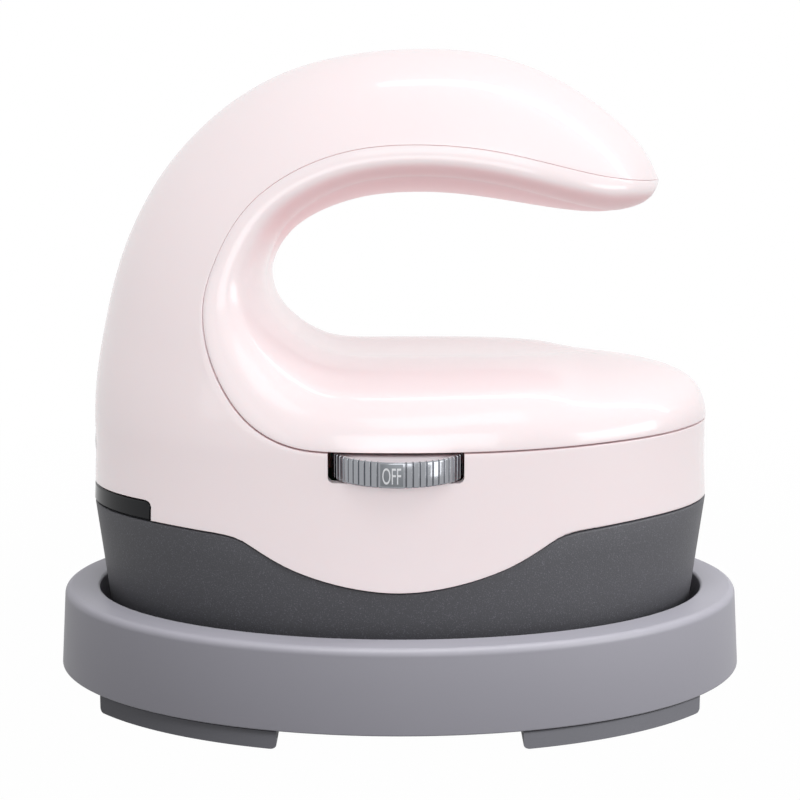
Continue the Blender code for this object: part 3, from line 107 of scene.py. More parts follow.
# Stations along the C from the front tip of the base to the tip of the nose, in thousandths: hand line,
# seam, half width of the palm strip and its crown
STATION_SHARES = (
    (1000, 17, 1000, 17, 0, 0), (986, 84, 980, 16, 0, 0), (935, 130, 925, 14, 0, 0),
    (822, 163, 815, 10, 0, 0), (651, 183, 651, 7, 0, 0), (479, 191, 479, 3, 250, -10),
    (240, 192, 240, 0, 362, -15), (0, 192, 0, 0, 362, -15), (-140, 193, -188, 0, 350, -12),
    (-248, 209, -342, 11, 310, -6), (-342, 260, -479, 77, 260, 0), (-404, 323, -575, 208, 200, 4),
    (-421, 395, -602, 338, 175, 10), (-394, 471, -568, 452, 200, 25), (-325, 539, -479, 590, 260, 55),
    (-206, 589, -325, 688, 330, 85), (-68, 617, -137, 743, 375, 103), (103, 622, 68, 754, 380, 106),
    (291, 606, 274, 740, 370, 98), (479, 580, 462, 704, 300, 70), (634, 567, 616, 673, 150, 25),
    (736, 580, 728, 660, 0, 0), (801, 605, 798, 656, 0, 0), (830.5, 656, 830.5, 656, 0, 0),
)
CORNER_STATION = 10
HANDLE_STATIONS = (10.5, 13.5)
HANDLE_SEAM_LOSS = 0.67
# Stations where the lower edge meets the lens notch, starts its corner and reaches its top
NOTCH_STATION = 8.5
NOTCH_ARC_STATION = 9.0
NOTCH_TOP_STATION = 9.25

# Skirt, lens and cord bush
SKIRT_TOP_HALF_LENGTH = 0.0589
SKIRT_FOOT_Z = 0.0115
SKIRT_FOOT_HALF_LENGTH = 0.0558
SKIRT_FOOT_HALF_WIDTH = 0.0325
SKIRT_WALL = 0.0020
LEDGE_LOW_Z = 0.0203
LENS_TOP_Z = 0.0389
LENS_REACH_X = -0.0452
LENS_WALL = 0.0018
LENS_CORNER = 0.0012
LENS_SOFT = 0.00025
BUSH_Z = 0.0465
BUSH_RADIUS = 0.0048
BUSH_BORE_RADIUS = 0.0032
BUSH_SEAT = 0.0033
BUSH_COLLAR = 0.0014
BUSH_SOFT = 0.0005

# Heat dial
DIAL_X = -0.0003
DIAL_Y = -0.0273
DIAL_LOW_Z = 0.0454
DIAL_THICK = 0.0046
DIAL_RADIUS = 0.0118
DIAL_STOPS = (0.0, 90.0, 135.0, 180.0)
DIAL_REST_TURN = -95.5
DIAL_PLATE_TURN = 20.0
DIAL_BORE = 0.0023
DIAL_HUB_RADIUS = 0.0042
DIAL_HUB_DROP = 0.0005
DIAL_SOFT = 0.00035
# Fine groove near the rim of the dial's top: distance from the rim and depth
DIAL_GROOVE = ((0.0016, 0.0), (0.0013, 0.0001), (0.0010, 0.0))
DIAL_STEPS = 1800
DIAL_SHARP_ANGLE = math.radians(50.0)
RIB_STEEPNESS = 3.0
RIB_THRESHOLD = 1.9
WINDOW_X = -0.0007
WINDOW_LENGTH = 0.0238
WINDOW_LOW_Z = 0.0451
WINDOW_CORNER = 0.001
WINDOW_SPARE = 0.002
DIAL_WORDS = ("OFF", "1", "2", "3")
LETTER_WIDTH = 0.47
LETTER_DROP = 0.0003
LETTER_RAISE = 0.00006
CAPITAL_SHARE = 0.70

# Safety tray
TRAY_HALF_LENGTH = 0.0659
TRAY_HALF_WIDTH = 0.0459
TRAY_RIM_Z = 0.0187
TRAY_LOW_Z = 0.0035
TRAY_DRAFT = 0.0009
TRAY_INNER_HALF_LENGTH = 0.0583
TRAY_INNER_HALF_WIDTH = 0.0388
TRAY_INNER_DRAFT = 0.0013
TRAY_FLOOR_Z = 0.0062
TRAY_RECESS_Z = 0.0042
# Half length and half width of the recess under the tray, its edge and foot, and of the floor's middle
TRAY_RECESS = ((0.0480, 0.0280), (0.0488, 0.0288), (0.0500, 0.0300))
TRAY_FLOOR_MIDDLE = (0.0400, 0.0240)
TRAY_FOOT_ROUND = 0.0003
TRAY_FLOOR_ROUND = 0.0015
FOOT_HEIGHT = 0.0032
FOOT_INSET = 0.0007
FOOT_WIDTH = 0.0080
FOOT_FROM_ANGLE = 32.4
FOOT_END_X = 0.0214
FOOT_CORNER = 0.0009
FOOT_STEPS = 96
FOOT_BEVEL_ANGLE = math.radians(40.0)
PAD_RADIUS = 0.0050
PAD_X = 0.0340
PAD_Y = 0.0160
PAD_SOFT = 0.0006
PAD_DISH = 0.0002
PLATE_LOW_Z = 0.0086

# Camera: a long lens a third of a metre away, ten degrees above level
CAMERA_DISTANCE = 0.330
CAMERA_TARGET_Z = 0.0540
CAMERA_PITCH = 9.9
CAMERA_LENS = 77.22
SENSOR_WIDTH = 36.0
# Studio: the sweep under the tray and how much of it glows near and far, the soft fill and the lamps, each
# with its name, place, width, height and power, then the starts of the names of the only pieces it
# reaches and its aim, where these differ from all pieces and the body
SWEEP_RADIUS = 4.0
SWEEP_THICK = 0.02
SWEEP_SHADE = 0.2
GLOW = {"From Min": 0.10, "From Max": 0.30, "To Min": 0.99, "To Max": 1.0}
FILL = 0.74
AIM = (0, 0, 0.06)
LOW_PIECES = ("safety_tray_body", "skirt_skin")
LAMPS = (
    ("overhead_strip", (0.34, 0.02, 0.61), 0.05, 1.00, 0.62),
    ("high_softbox", (0.12, -0.45, 0.58), 0.45, 0.25, 0.5),
    ("side_softbox", (0.60, -0.30, 0.15), 0.40, 0.20, 0.88),
    ("front_softbox", (0.05, -0.70, 0.20), 0.50, 0.30, 1.1),
    ("left_softbox", (-0.45, -0.55, 0.20), 0.40, 0.30, 0.4, ("outer_", "grip_")),
    ("palm_card", (0.012, 0.0, 0.068), 0.08, 0.03, 0.003, (), (0.012, 0.0, 0.09)),
    ("low_strip", (0.08, -0.12, 0.68), 0.80, 0.18, 7.6, LOW_PIECES),
    ("low_side", (0.60, -0.42, 0.35), 0.30, 0.30, 4.2, LOW_PIECES),
    ("foot_side", (0.40, -0.42, 0.50), 0.25, 0.20, 12.0, ("foot_",)),
    ("dial_card", (0.165, -0.101, 0.024), 0.06, 0.047, 0.030, ("thumbwheel",)),
)

FLECK_SOFTNESS = 0.12
# Normal heights over which faces that look down blend into the painted underside shade
FACING_DOWN = {"From Min": -0.15, "From Max": -0.70}
SHARP_ANGLE = math.radians(38.0)
TINY = 1e-6
HAIR = 0.00002


# Colours

def linear(code):
    """Linear red, green and blue of an sRGB hex colour."""
    shares = [int(code[i:i + 2], 16) / 255 for i in (1, 3, 5)]
    return tuple(c / 12.92 if c <= 0.04045 else ((c + 0.055) / 1.055) ** 2.4 for c in shares)


def colour_choice(name, description, code):
    """A colour a user can change, given as sRGB hex."""
    return bpy.props.FloatVectorProperty(name=name, description=description, subtype="COLOR", size=3,
                                         min=0.0, max=1.0, default=linear(code))


def size_choice(name, description, default):
    """A length a user can change, in metres."""
    return bpy.props.FloatProperty(name=name, description=description, default=default, min=0.0,
                                   unit="LENGTH", subtype="DISTANCE", precision=5)


class PressColours(bpy.types.PropertyGroup):
    """Colours of the press and its tray."""

    body: colour_choice("Body", "Pale pink of the shell and the grip cover", "#F8E9EB")
    skirt: colour_choice("Skirt", "Charcoal of the skirt under the shell", "#3C3C40")
    fleck: colour_choice("Fleck", "Light flecks in the charcoal skirt", "#505056")
    # Painted shade: a deeper pink for faces that look down, standing in for less white light and more pink
    # bounce light there
    under: colour_choice("Underside", "Deeper pink of the body where it faces down", "#F8D8DA")
    lens: colour_choice("Lens", "Smoked band at the back", "#1B1C1F")
    tray: colour_choice("Tray", "Blue grey of the safety tray", "#75747B")
    foot: colour_choice("Feet", "Charcoal rubber of the arc feet", "#424247")
    plate: colour_choice("Plate coating", "Dark non-stick coating of the heating plate", "#3A3A3C")
    pad: colour_choice("Rest pads", "Silicone studs in the tray", "#3B3B40")
    ink: colour_choice("Dial ink", "Letters and digits on the dial", "#E6E7EA")
    # Painted shade: darker than bare plating, standing in for the dark surroundings the dial's sides mirror
    chrome: colour_choice("Chrome", "Plated metal of the dial", "#9A9CA1")


class PressSizes(bpy.types.PropertyGroup):
    """Small sizes of the visible pieces."""

    edge: size_choice("Moulded edge", "Rounding of the shell's and cover's seam edges", 0.00014)
    skirt_edge: size_choice("Skirt edge", "Rounding of the skirt's upper edge", 0.0004)
    rib_depth: size_choice("Rib depth", "Depth of the dial's ribs", 0.00032)
    letter: size_choice("Letter height", "Height of the dial's letters", 0.00285)
    rim_round: size_choice("Tray rim", "Rounding of the tray's outer rim", 0.0014)
    lip_round: size_choice("Tray lip", "Rounding of the tray's inner rim", 0.0006)
    foot_round: size_choice("Foot edge", "Rounding of the feet's edges", 0.0003)
    ribs: bpy.props.IntProperty(name="Dial ribs", description="Ribs round the whole dial", default=60, min=12)


def sizes():
    """The size choices of the scene."""
    return bpy.context.scene.press_sizes


# Numbers

def curve_through(knots, values, at):
    """Cubic pieces through the knots; each knot's slope is the mean of the two chords beside it."""
    knots = np.asarray(knots, float)
    values = np.asarray(values, float)
    chord = np.diff(values) / np.diff(knots)
    slope = np.concatenate([[chord[0]], (chord[:-1] + chord[1:]) / 2, [chord[-1]]])
    slope[1:-1] = np.where(chord[:-1] * chord[1:] <= 0, 0.0, slope[1:-1])
    at = np.clip(at, knots[0], knots[-1])
    i = np.clip(np.searchsorted(knots, at, side="right") - 1, 0, len(knots) - 2)
    step = knots[i + 1] - knots[i]
    s = (at - knots[i]) / step
    return ((1 + 2 * s) * (1 - s) ** 2 * values[i] + s * (1 - s) ** 2 * step * slope[i]
            + s ** 2 * (3 - 2 * s) * values[i + 1] + s ** 2 * (s - 1) * step * slope[i + 1])


def eased(values, reach, hold):
    """Running mean of a row of values with a bell-shaped weight; the ends keep their place."""
    offsets = np.arange(-3 * reach, 3 * reach + 1)
    weight = np.exp(-0.5 * (offsets / reach) ** 2)
    padded = np.pad(values, (3 * reach, 3 * reach), mode="reflect", reflect_type="odd")
    smooth = np.convolve(padded, weight / weight.sum(), mode="valid")
    ramp = np.clip(np.minimum(np.arange(len(values)), np.arange(len(values))[::-1]) / hold, 0, 1)
    return values + (smooth - values) * ramp


def share_of(at, start, end):
    """Share of the way from start to end, held to the range from nothing to one."""
    return np.clip((at - start) / (end - start), 0, 1)


def dome_reach(angle):
    """Radius of the dome's outline at an angle, from the table of shares, slightly smoothed."""
    fine = np.linspace(0, 1, 721)
    reach = eased(curve_through(DOME_ANGLE_SHARES, DOME_REACH_SHARES, fine), 9, 12)
    return np.interp(angle / math.pi, fine, reach) * BODY_HALF_LENGTH


def wall_half_length(z):
    """Half length of the base wall, which grows by the square of the drop below the seam."""
    drop = np.clip((SEAM_Z - z) / (SEAM_Z - WAVE_LOW_Z - WAVE_RISE), 0.0, 1.0)
    return BODY_HALF_LENGTH + BASE_FLARE * drop ** 2


def half_width(x, z):
    """Half width over a side view point: W (1 - s^p)^(1/p), with s the share of the outline reached."""
    above = np.maximum(z - SEAM_Z, 0.0)
    angle = np.arctan2(above, x)
    share = np.hypot(x, above) / dome_reach(angle)
    share = np.where(above > 0, share, np.abs(x) / wall_half_length(z))
    power = DOME_ROUNDNESS - CREST_ROUNDNESS_LOSS * np.sin(angle)
    return BODY_HALF_WIDTH * np.maximum(1.0 - np.minimum(share, 1.0) ** power, 0.0) ** (1.0 / power)


def wave_z(x):
    """Height of the line between shell and skirt."""
    rise = curve_through(WAVE_REACH_SHARES, WAVE_HEIGHT_SHARES, np.abs(x) / BODY_HALF_LENGTH)
    return WAVE_LOW_Z + WAVE_RISE * rise + WAVE_TILT * x / BODY_HALF_LENGTH


def unit(vectors):
    """Vectors brought to length one."""
    return vectors / np.maximum(np.linalg.norm(vectors, axis=-1, keepdims=True), TINY ** 2)


def stations():
    """Hand line, seam, its outward direction, strip width and crown at each fine step along the C."""
    rows = np.array(STATION_SHARES) / 1000
    at = np.linspace(0, len(rows) - 1, (len(rows) - 1) * STEPS + 1)
    knots = np.arange(len(rows))
    columns = [eased(curve_through(knots, rows[:, k], at), STEPS // 3, STEPS) for k in range(6)]
    x_hand, z_hand, x_seam, z_seam, strip, crown = columns
    first, last = np.flatnonzero(rows[:, 4])[[0, -1]] + (-1, 1)
    grown = np.clip(np.minimum(at - first, last - at), 0, 1)
    strip, crown = strip * grown ** 2 * (3 - 2 * grown), crown * grown
    hand = np.stack([x_hand * BODY_HALF_LENGTH, SEAM_Z + z_hand * DOME_RISE], axis=1)
    seam = np.stack([x_seam * BODY_HALF_LENGTH, SEAM_Z + z_seam * DOME_RISE], axis=1)
    run = np.gradient(seam, axis=0)
    out = unit(np.stack([-run[:, 1], run[:, 0]], axis=1))
    return at, hand, seam, out, strip * BODY_HALF_WIDTH, crown * BODY_HALF_WIDTH


def seam_softness(at):
    """Share of the seam's rounding: whole along the base and spine, a third where the handle is held."""
    along = share_of(at, *HANDLE_STATIONS)
    return (1 - HANDLE_SEAM_LOSS * along ** 2 * (3 - 2 * along))[:, None]


def outline_opposite(at, seam):
    """Point of the outline that faces each station: the wavy line, the lens notch, then the dome."""
    near, top = LENS_REACH_X + GAP, LENS_TOP_Z + GAP
    start_turn = math.acos(near / BODY_HALF_LENGTH)
    wave_turn = start_turn * np.clip(at / NOTCH_STATION, 0, 1) ** WAVE_EASE
    line_x = BODY_HALF_LENGTH * np.cos(wave_turn)
    line = np.stack([line_x, wave_z(line_x)], axis=1)
    climb = share_of(at, NOTCH_STATION, NOTCH_ARC_STATION)
    line[:, 1] += (top - LENS_CORNER - float(wave_z(np.array(near)))) * climb
    turn = share_of(at, NOTCH_ARC_STATION, NOTCH_TOP_STATION) * math.pi / 2
    line += np.stack([-LENS_CORNER * (1 - np.cos(turn)), LENS_CORNER * np.sin(turn)], axis=1)
    end_turn = math.acos((near - LENS_CORNER) / BODY_HALF_LENGTH)
    back = share_of(at, NOTCH_TOP_STATION, CORNER_STATION)
    back_x = BODY_HALF_LENGTH * np.cos(end_turn + (math.pi - end_turn) * back)
    line[:, 0] = np.where(back > 0, back_x, line[:, 0])
    start = math.atan2(top - SEAM_Z, -BODY_HALF_LENGTH) + 2 * math.pi
    end = math.atan2(seam[-1, 1] - SEAM_Z, seam[-1, 0])
    angle = start + (end - start) * share_of(at, CORNER_STATION, at[-1]) ** DOME_EASE
    reach = dome_reach(np.clip(angle, 0, math.pi))
    reach = np.where(angle > math.pi, BODY_HALF_LENGTH / np.abs(np.cos(angle)), reach)
    dome = np.stack([reach * np.cos(angle), SEAM_Z + reach * np.sin(angle)], axis=1)
    return np.where((at <= CORNER_STATION)[:, None], line, dome)


def near_grid(side_view):
    """The near side in space: side view x, minus the width, side view z."""
    return np.stack([side_view[:, :, 0], -side_view[:, :, 2], side_view[:, :, 1]], axis=2)


def cover_grid():
    """Grip cover: a palm strip from the middle plane, then a rounded flank out to the dome's width.

    With s the share of the way, the flank's width rises as (1 - (1 - s)^p)^(1/p), so that it turns smoothly
    out of the strip and meets the dome without a crease at the seam.
    """
    _, hand, seam, _, strip, crown = stations()
    toward = seam - hand
    span = np.linalg.norm(toward, axis=1, keepdims=True)
    edge = hand + unit(toward) * np.minimum(crown[:, None], span / 2)
    rows = []
    for share in np.linspace(0, 1, STRIP_STEPS + 1)[:-1]:
        flat = hand + (edge - hand) * share ** 2
        rows.append(np.concatenate([flat, (strip * share)[:, None]], axis=1))
    for share in np.linspace(0, 1, COVER_STEPS + 1):
        along = 1 - math.cos(share * math.pi / 2)
        point = edge + (seam - edge) * along
        full = np.maximum(half_width(point[:, 0], point[:, 1]), strip)
        rise = (1 - (1 - along) ** GRIP_FILLET) ** (1 / GRIP_FILLET)
        rows.append(np.concatenate([point, (strip + (full - strip) * rise)[:, None]], axis=1))
    grid = np.stack(rows, axis=1)
    grid[0, :, 2] = 0.0
    grid[-1, :, 2] = 0.0
    return near_grid(grid)


def shell_grid():
    """Outer shell: straight side view lines from seam to outline, as wide as the dome there."""
    at, _, seam, *_ = stations()
    outline = outline_opposite(at, seam)
    rows = []
    for share in np.linspace(0, 1, SHELL_STEPS + 1):
        along = 1 - (1 - share) ** SHELL_EASE
        point = seam + (outline - seam) * along
        point[:, 0] *= wall_half_length(point[:, 1]) / BODY_HALF_LENGTH
        rows.append(np.concatenate([point, half_width(point[:, 0], point[:, 1])[:, None]], axis=1))
    grid = np.stack(rows, axis=1)
    grid[CORNER_STATION * STEPS:, -1, 2] = 0.0
    grid[0, :, 2] = 0.0
    grid[-1, :, 2] = 0.0
    return near_grid(grid)


def grid_normals(points, pinned=0):
    """Outward normals of the near side, square to the middle plane wherever the width is nothing."""
    normal = unit(np.cross(np.gradient(points, axis=0), np.gradient(points, axis=1)))
    normal[np.abs(points[:, :, 1]) < TINY, 1] = 0.0
    if pinned:
        closed = np.abs(points[:, pinned, 1]) < TINY
        normal[closed, :pinned] = normal[closed, pinned][:, None]
    normal[0] = (1, 0, 0)
    normal[-1] = (1, 0, 0)
    return unit(normal)


# Meshes

def grid_faces(rows, columns, close_rows=False, close_columns=False, keep=None):
    """Quads between neighbouring grid points, as index rows; keep drops the quads it marks false."""
    i = np.arange(rows if close_rows else rows - 1)
    j = np.arange(columns if close_columns else columns - 1)
    i, j = np.meshgrid(i, j, indexing="ij")
    i2, j2 = (i + 1) % rows, (j + 1) % columns
    quads = np.stack([i * columns + j, i2 * columns + j, i2 * columns + j2, i * columns + j2], axis=-1)
    if keep is not None:
        return quads[keep]
    return quads.reshape(-1, 4)


def mesh_from(name, points, quads, merge=1e-6):
    """Mesh of numpy points and quads, its doubles merged and its faces turned outward as a whole."""
    mesh = bpy.data.meshes.new(name)
    mesh.vertices.add(len(points))
    mesh.vertices.foreach_set("co", np.ascontiguousarray(points, np.float32).ravel())
    mesh.loops.add(quads.size)
    mesh.loops.foreach_set("vertex_index", np.ascontiguousarray(quads, np.int32).ravel())
    mesh.polygons.add(len(quads))
    mesh.polygons.foreach_set("loop_start", np.arange(0, quads.size, 4, dtype=np.int32))
    mesh.update(calc_edges=True)
    bm = bmesh.new()
    bm.from_mesh(mesh)
    bmesh.ops.remove_doubles(bm, verts=bm.verts, dist=merge)
    bmesh.ops.dissolve_degenerate(bm, edges=bm.edges, dist=merge)
    if bm.calc_volume(signed=True) < 0:
        bmesh.ops.reverse_faces(bm, faces=bm.faces)
    bm.to_mesh(mesh)
    bm.free()
    return mesh


def turned_outward(mesh, close=False):
    """The mesh with its open edges filled where asked and every face turned outward."""
    bm = bmesh.new()
    bm.from_mesh(mesh)
    if close:
        bmesh.ops.holes_fill(bm, edges=[edge for edge in bm.edges if edge.is_boundary])
    bmesh.ops.recalc_face_normals(bm, faces=bm.faces)
    bm.to_mesh(mesh)
    bm.free()
    return mesh


def placed(name, data):
    """Object of a mesh, text, lamp or camera, linked to the scene."""
    holder = bpy.data.objects.new(name, data)
    bpy.context.scene.collection.objects.link(holder)
    return holder


def solved(holder):
    """New mesh of an object with its modifiers applied or its letters set."""
    bpy.context.view_layer.update()
    return bpy.data.meshes.new_from_object(holder.evaluated_get(bpy.context.evaluated_depsgraph_get()))


def grid_mesh(name, points, close_rows=True, close_columns=True):
    """Mesh of a grid of points, closed along its rows and its columns where asked."""
    return mesh_from(name, points.reshape(-1, 3), grid_faces(*points.shape[:2], close_rows, close_columns))


def arc(x, z, radius, degrees):
    """Points about a centre at the given angles."""
    return [(x + radius * math.cos(a), z + radius * math.sin(a)) for a in np.radians(degrees)]


def finished(mesh, material, sharp=SHARP_ANGLE):
    """Object from a mesh, shaded smooth up to a sharp angle, in its material."""
    mesh.shade_smooth()
    mesh.set_sharp_from_angle(angle=sharp)
    mesh.materials.clear()
    mesh.materials.append(material)
    return placed(mesh.name, mesh)


def dress(mesh, body, slot, *nodes, coat=None, sharp=SHARP_ANGLE):
    """Finish a mesh in the finish of its material slot, put it on its body and hide the parts it stands for.
    """
    piece = finished(mesh, finish(coat or SLOT_FINISHES[slot]), sharp)
    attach(piece, body)
    if nodes:
        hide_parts(*nodes)
    return piece


def both_sides(name, near, faces):
    """Mesh of a near side grid and its mirror image, welded on the middle plane."""
    flat = near.reshape(-1, 3)
    points = np.concatenate([flat, flat * (1, -1, 1)])
    quads = np.concatenate([faces, faces[:, ::-1] + len(flat)])
    return mesh_from(name, points, quads, 2e-6)


def pulled_back(edge, beside, way):
    """Seam edge moved by half the gap, or a third of the way to the next column if that is less."""
    room = np.minimum(GAP / 2, np.linalg.norm(beside - edge, axis=1) / 3)
    return edge + np.stack([way[:, 0], np.zeros(len(way)), way[:, 1]], axis=1) * room[:, None]


def rounded_rim(edge, across, normal, radius, wall, steps=4):
    """Columns from a surface's edge over a quarter round and down the wall.

    Each row starts a radius r short of the edge, goes r sin(t) along the surface and r (1 - cos(t)) into
    the wall, with t up to a quarter turn, and ends at the wall's full depth.
    """
    columns = [edge - across * radius]
    for turn in np.linspace(0, math.pi / 2, steps + 1)[1:]:
        columns.append(edge - across * radius * (1 - math.sin(turn)) - normal * radius * (1 - math.cos(turn)))
    columns.append(edge - normal * wall)
    return np.stack(columns, axis=1)


def oval_mesh(name, profile, steps, along="Z", at=(0, 0, 0)):
    """Profile of (half length, half width, distance along the axis) rows carried round an ellipse."""
    profile = np.asarray(profile, float)
    angle = np.linspace(0, 2 * math.pi, steps, endpoint=False)[:, None]
    around = [profile[None, :, 0] * np.cos(angle), profile[None, :, 1] * np.sin(angle)]
    reach = np.broadcast_to(profile[None, :, 2], (steps, len(profile)))
    points = np.stack([*around, reach] if along == "Z" else [reach, *around], axis=2) + np.array(at)
    return grid_mesh(name, points, True, profile[[0, -1], 0].max() > TINY)


def turned_mesh(name, profile, *rest):
    """Profile of (radius, distance along the axis) rows turned about an axis."""
    return oval_mesh(name, [(radius, radius, reach) for radius, reach in profile], *rest)


def arc_rows(half_length, half_width_, z, radius, start, end, steps):
    """Rows of an oval profile on an arc about a centre."""
    turn = np.radians(np.linspace(start, end, steps + 1))
    return np.stack([half_length + radius * np.cos(turn), half_width_ + radius * np.cos(turn),
                     z + radius * np.sin(turn)], axis=1)


def prism_mesh(name, outline, low, high):
    """Side view outline of (x, z) points carried along Y, with whole ends."""
    outline = np.asarray(outline, float)
    count = len(outline)
    ends = [np.stack([outline[:, 0], np.full(count, y), outline[:, 1]], axis=1) for y in (low, high)]
    mesh = bpy.data.meshes.new(name)
    ring = list(range(count))
    sides = [(k, (k + 1) % count, (k + 1) % count + count, k + count) for k in ring]
    mesh.from_pydata(np.concatenate(ends).tolist(), [], [ring[::-1], [k + count for k in ring], *sides])
    return turned_outward(mesh)


def rounded_outline(points, radii, steps=5):
    """Closed outline whose corners are arcs of the given radii, tangent to both sides."""
    points = np.asarray(points, float)
    made = []
    for k, radius in enumerate(radii):
        corner = points[k]
        before = unit(points[k - 1] - corner)
        after = unit(points[(k + 1) % len(points)] - corner)
        if radius <= 0:
            made.append(corner)
            continue
        half = math.acos(np.clip(before @ after, -1, 1)) / 2
        reach = radius / math.tan(half)
        middle = corner + unit(before + after) * radius / math.sin(half)
        start = corner + before * reach - middle
        end = corner + after * reach - middle
        for share in np.linspace(0, 1, steps + 1):
            made.append(middle + unit(start * (1 - share) + end * share) * radius)
    return made


def carve(mesh, *cutters):
    """The mesh with every cutter's volume taken away, as a new mesh."""
    holder = placed(mesh.name, mesh)
    others = [placed(cutter.name, cutter) for cutter in cutters]
    for other in others:
        step = holder.modifiers.new("carve", "BOOLEAN")
        step.operation = "DIFFERENCE"
        step.solver = "EXACT"
        step.object = other
    result = solved(holder)
    for item in (holder, *others):
        bpy.data.objects.remove(item)
    return result


# Materials

def add_node(tree, kind, inputs=None, links=None, **settings):
    """Add a shader node, set its attributes and input values, and join its inputs to given outputs."""
    node = tree.nodes.new(f"ShaderNode{kind}")
    for key, value in settings.items():
        setattr(node, key, value)
    for key, value in (inputs or {}).items():
        node.inputs[key].default_value = value
    for key, output in (links or {}).items():
        tree.links.new(output, node.inputs[key])
    return node


def base_material(name, values):
    """New Principled material with constant values set on the shader's own sockets."""
    material = bpy.data.materials.new(name)
    material.use_nodes = True
    tree = material.node_tree
    shader = tree.nodes["Principled BSDF"]
    for key, value in values.items():
        shader.inputs[key].default_value = value
    return material, tree, shader


# Finishes by name: colour, roughness, (size in mm, share of the colour it moves) of the slow tone change,
# shader values and, where there are any, grain as (size in mm, height in mm), fleck as (size in mm,
# threshold share, colour), spread of the roughness and under, a deeper colour painted on faces that look down
# as painted shade
FINISHES = {
    # ABS moulded in a polished tool: pale pink with a soft gloss and the faintest orange peel, with a deeper
    # pink painted on faces that look down as painted shade
    "polished_abs": ("body", 0.30, (34.0, 0.012),
                     {"IOR": 1.54, "Subsurface Weight": 0.12, "Subsurface Radius": (0.0030, 0.0016, 0.0014),
                      "Subsurface Scale": 1.0, "Coat Weight": 0.6, "Coat Roughness": 0.05},
                     {"grain": (1.6, 0.0010), "spread": 0.02, "under": "under"}),
    # Mineral filled phenolic from a spark-eroded tool: charcoal, dry, with fine light flecks
    "eroded_phenolic": ("skirt", 0.55, (9.0, 0.06), {"IOR": 1.6, "Specular IOR Level": 0.3},
                        {"grain": (0.26, 0.030), "fleck": (0.22, 0.58, "fleck")}),
    # Smoked polycarbonate, polished: nearly black with a sharp reflection
    "smoked_polycarbonate": ("lens", 0.10, (12.0, 0.05), {"IOR": 1.585, "Specular IOR Level": 0.12},
                             {"spread": 0.01}),
    # Glass filled polypropylene with a satin skin: blue grey, soft highlights, a very fine grain
    "satin_polypropylene": ("tray", 0.46, (26.0, 0.03), {"IOR": 1.5, "Specular IOR Level": 0.35},
                            {"grain": (0.5, 0.006)}),
    # Thermoplastic rubber: charcoal, matt, a little dusty
    "moulded_rubber": ("foot", 0.72, (7.0, 0.12), {"IOR": 1.52}, {"grain": (0.4, 0.012)}),
    # Heat resistant silicone: dark grey, matt and even
    "silicone_rubber": ("pad", 0.62, (6.0, 0.06), {"IOR": 1.43, "Subsurface Weight": 0.03},
                        {"grain": (0.6, 0.006)}),
    # Bright chrome over moulded plastic: mirror sharp, hazed a little by handling. Its colour is darkened as
    # painted shade for the dark surroundings it mirrors
    "plated_chrome": ("chrome", 0.14, (5.0, 0.04), {"Metallic": 1.0}, {}),
    # The same plating over a turned face: silky, without sharp reflections, and painted lighter than the
    # sides as painted light on the face that looks up
    "brushed_top": ("#DCDCDF", 0.50, (5.0, 0.04), {"Metallic": 1.0}, {}),
    # Blasted and darkened plate under the marks: mid grey metal with a flat sheen
    "satin_plate": ("#76797D", 0.42, (5.0, 0.03), {"Metallic": 1.0}, {}),
    # Non-stick coating on cast aluminium: dark, soft sheen, with bright mineral specks
    "ptfe_coating": ("plate", 0.36, (14.0, 0.06), {"IOR": 1.38, "Coat Weight": 0.2},
                     {"grain": (0.5, 0.01), "fleck": (0.5, 0.66, "#8C8C8E")}),
    # Zinc plated steel: pale, slightly mottled and brushed by handling
    "zinc_plate": ("#B9BCBF", 0.34, (3.0, 0.12), {"Metallic": 1.0}, {"spread": 0.08}),
    # Glass filled nylon: near black with a fine moulded grain
    "black_nylon": ("#232326", 0.50, (8.0, 0.08), {"IOR": 1.53}, {"grain": (0.4, 0.01)}),
    # Epoxy glass laminate under green solder mask: glossy, with the weave faintly in relief
    "board_laminate": ("#1F6B3A", 0.30, (2.0, 0.10), {"IOR": 1.55, "Coat Weight": 0.3},
                       {"grain": (0.8, 0.01)}),
    # Fired ceramic and phenolic insulators: cream, dry, faintly clouded
    "glazed_ceramic": ("#DDD6C8", 0.48, (4.0, 0.07), {"IOR": 1.6}, {"grain": (0.5, 0.008)}),
    # Clear acrylic: polished, a trace of blue, lets light through
    "clear_acrylic": ("#E8F0F4", 0.08, (10.0, 0.02), {"IOR": 1.49, "Transmission Weight": 0.85},
                      {"spread": 0.01}),
    # Varnished glass fibre sleeve: brick red with the braid in relief
    "glass_sleeve": ("#A8322B", 0.55, (3.0, 0.15), {"IOR": 1.5}, {"grain": (0.5, 0.04)}),
    # Pad printed ink: pale grey, flat and dry
    "printed_ink": ("ink", 0.55, (2.0, 0.05), {"IOR": 1.48}, {}),
}
SLOT_FINISHES = {
    "steel": "zinc_plate", "black_plastic": "black_nylon", "board_laminate": "board_laminate",
    "ceramic": "glazed_ceramic", "clear_plastic": "clear_acrylic", "lead_sleeve": "glass_sleeve",
    "silicone": "silicone_rubber", "chrome_plate": "plated_chrome", "plate_coating": "ptfe_coating",
    "tray_plastic": "satin_polypropylene", "foot_rubber": "moulded_rubber", "pink_plastic": "polished_abs",
    "charcoal_plastic": "eroded_phenolic", "dark_lens": "smoked_polycarbonate",
}


def paint_of(colour):
    """Linear colour of an sRGB hex code or of one of the scene's colour choices."""
    return linear(colour) if colour[0] == "#" else tuple(getattr(bpy.context.scene.press_colours, colour))


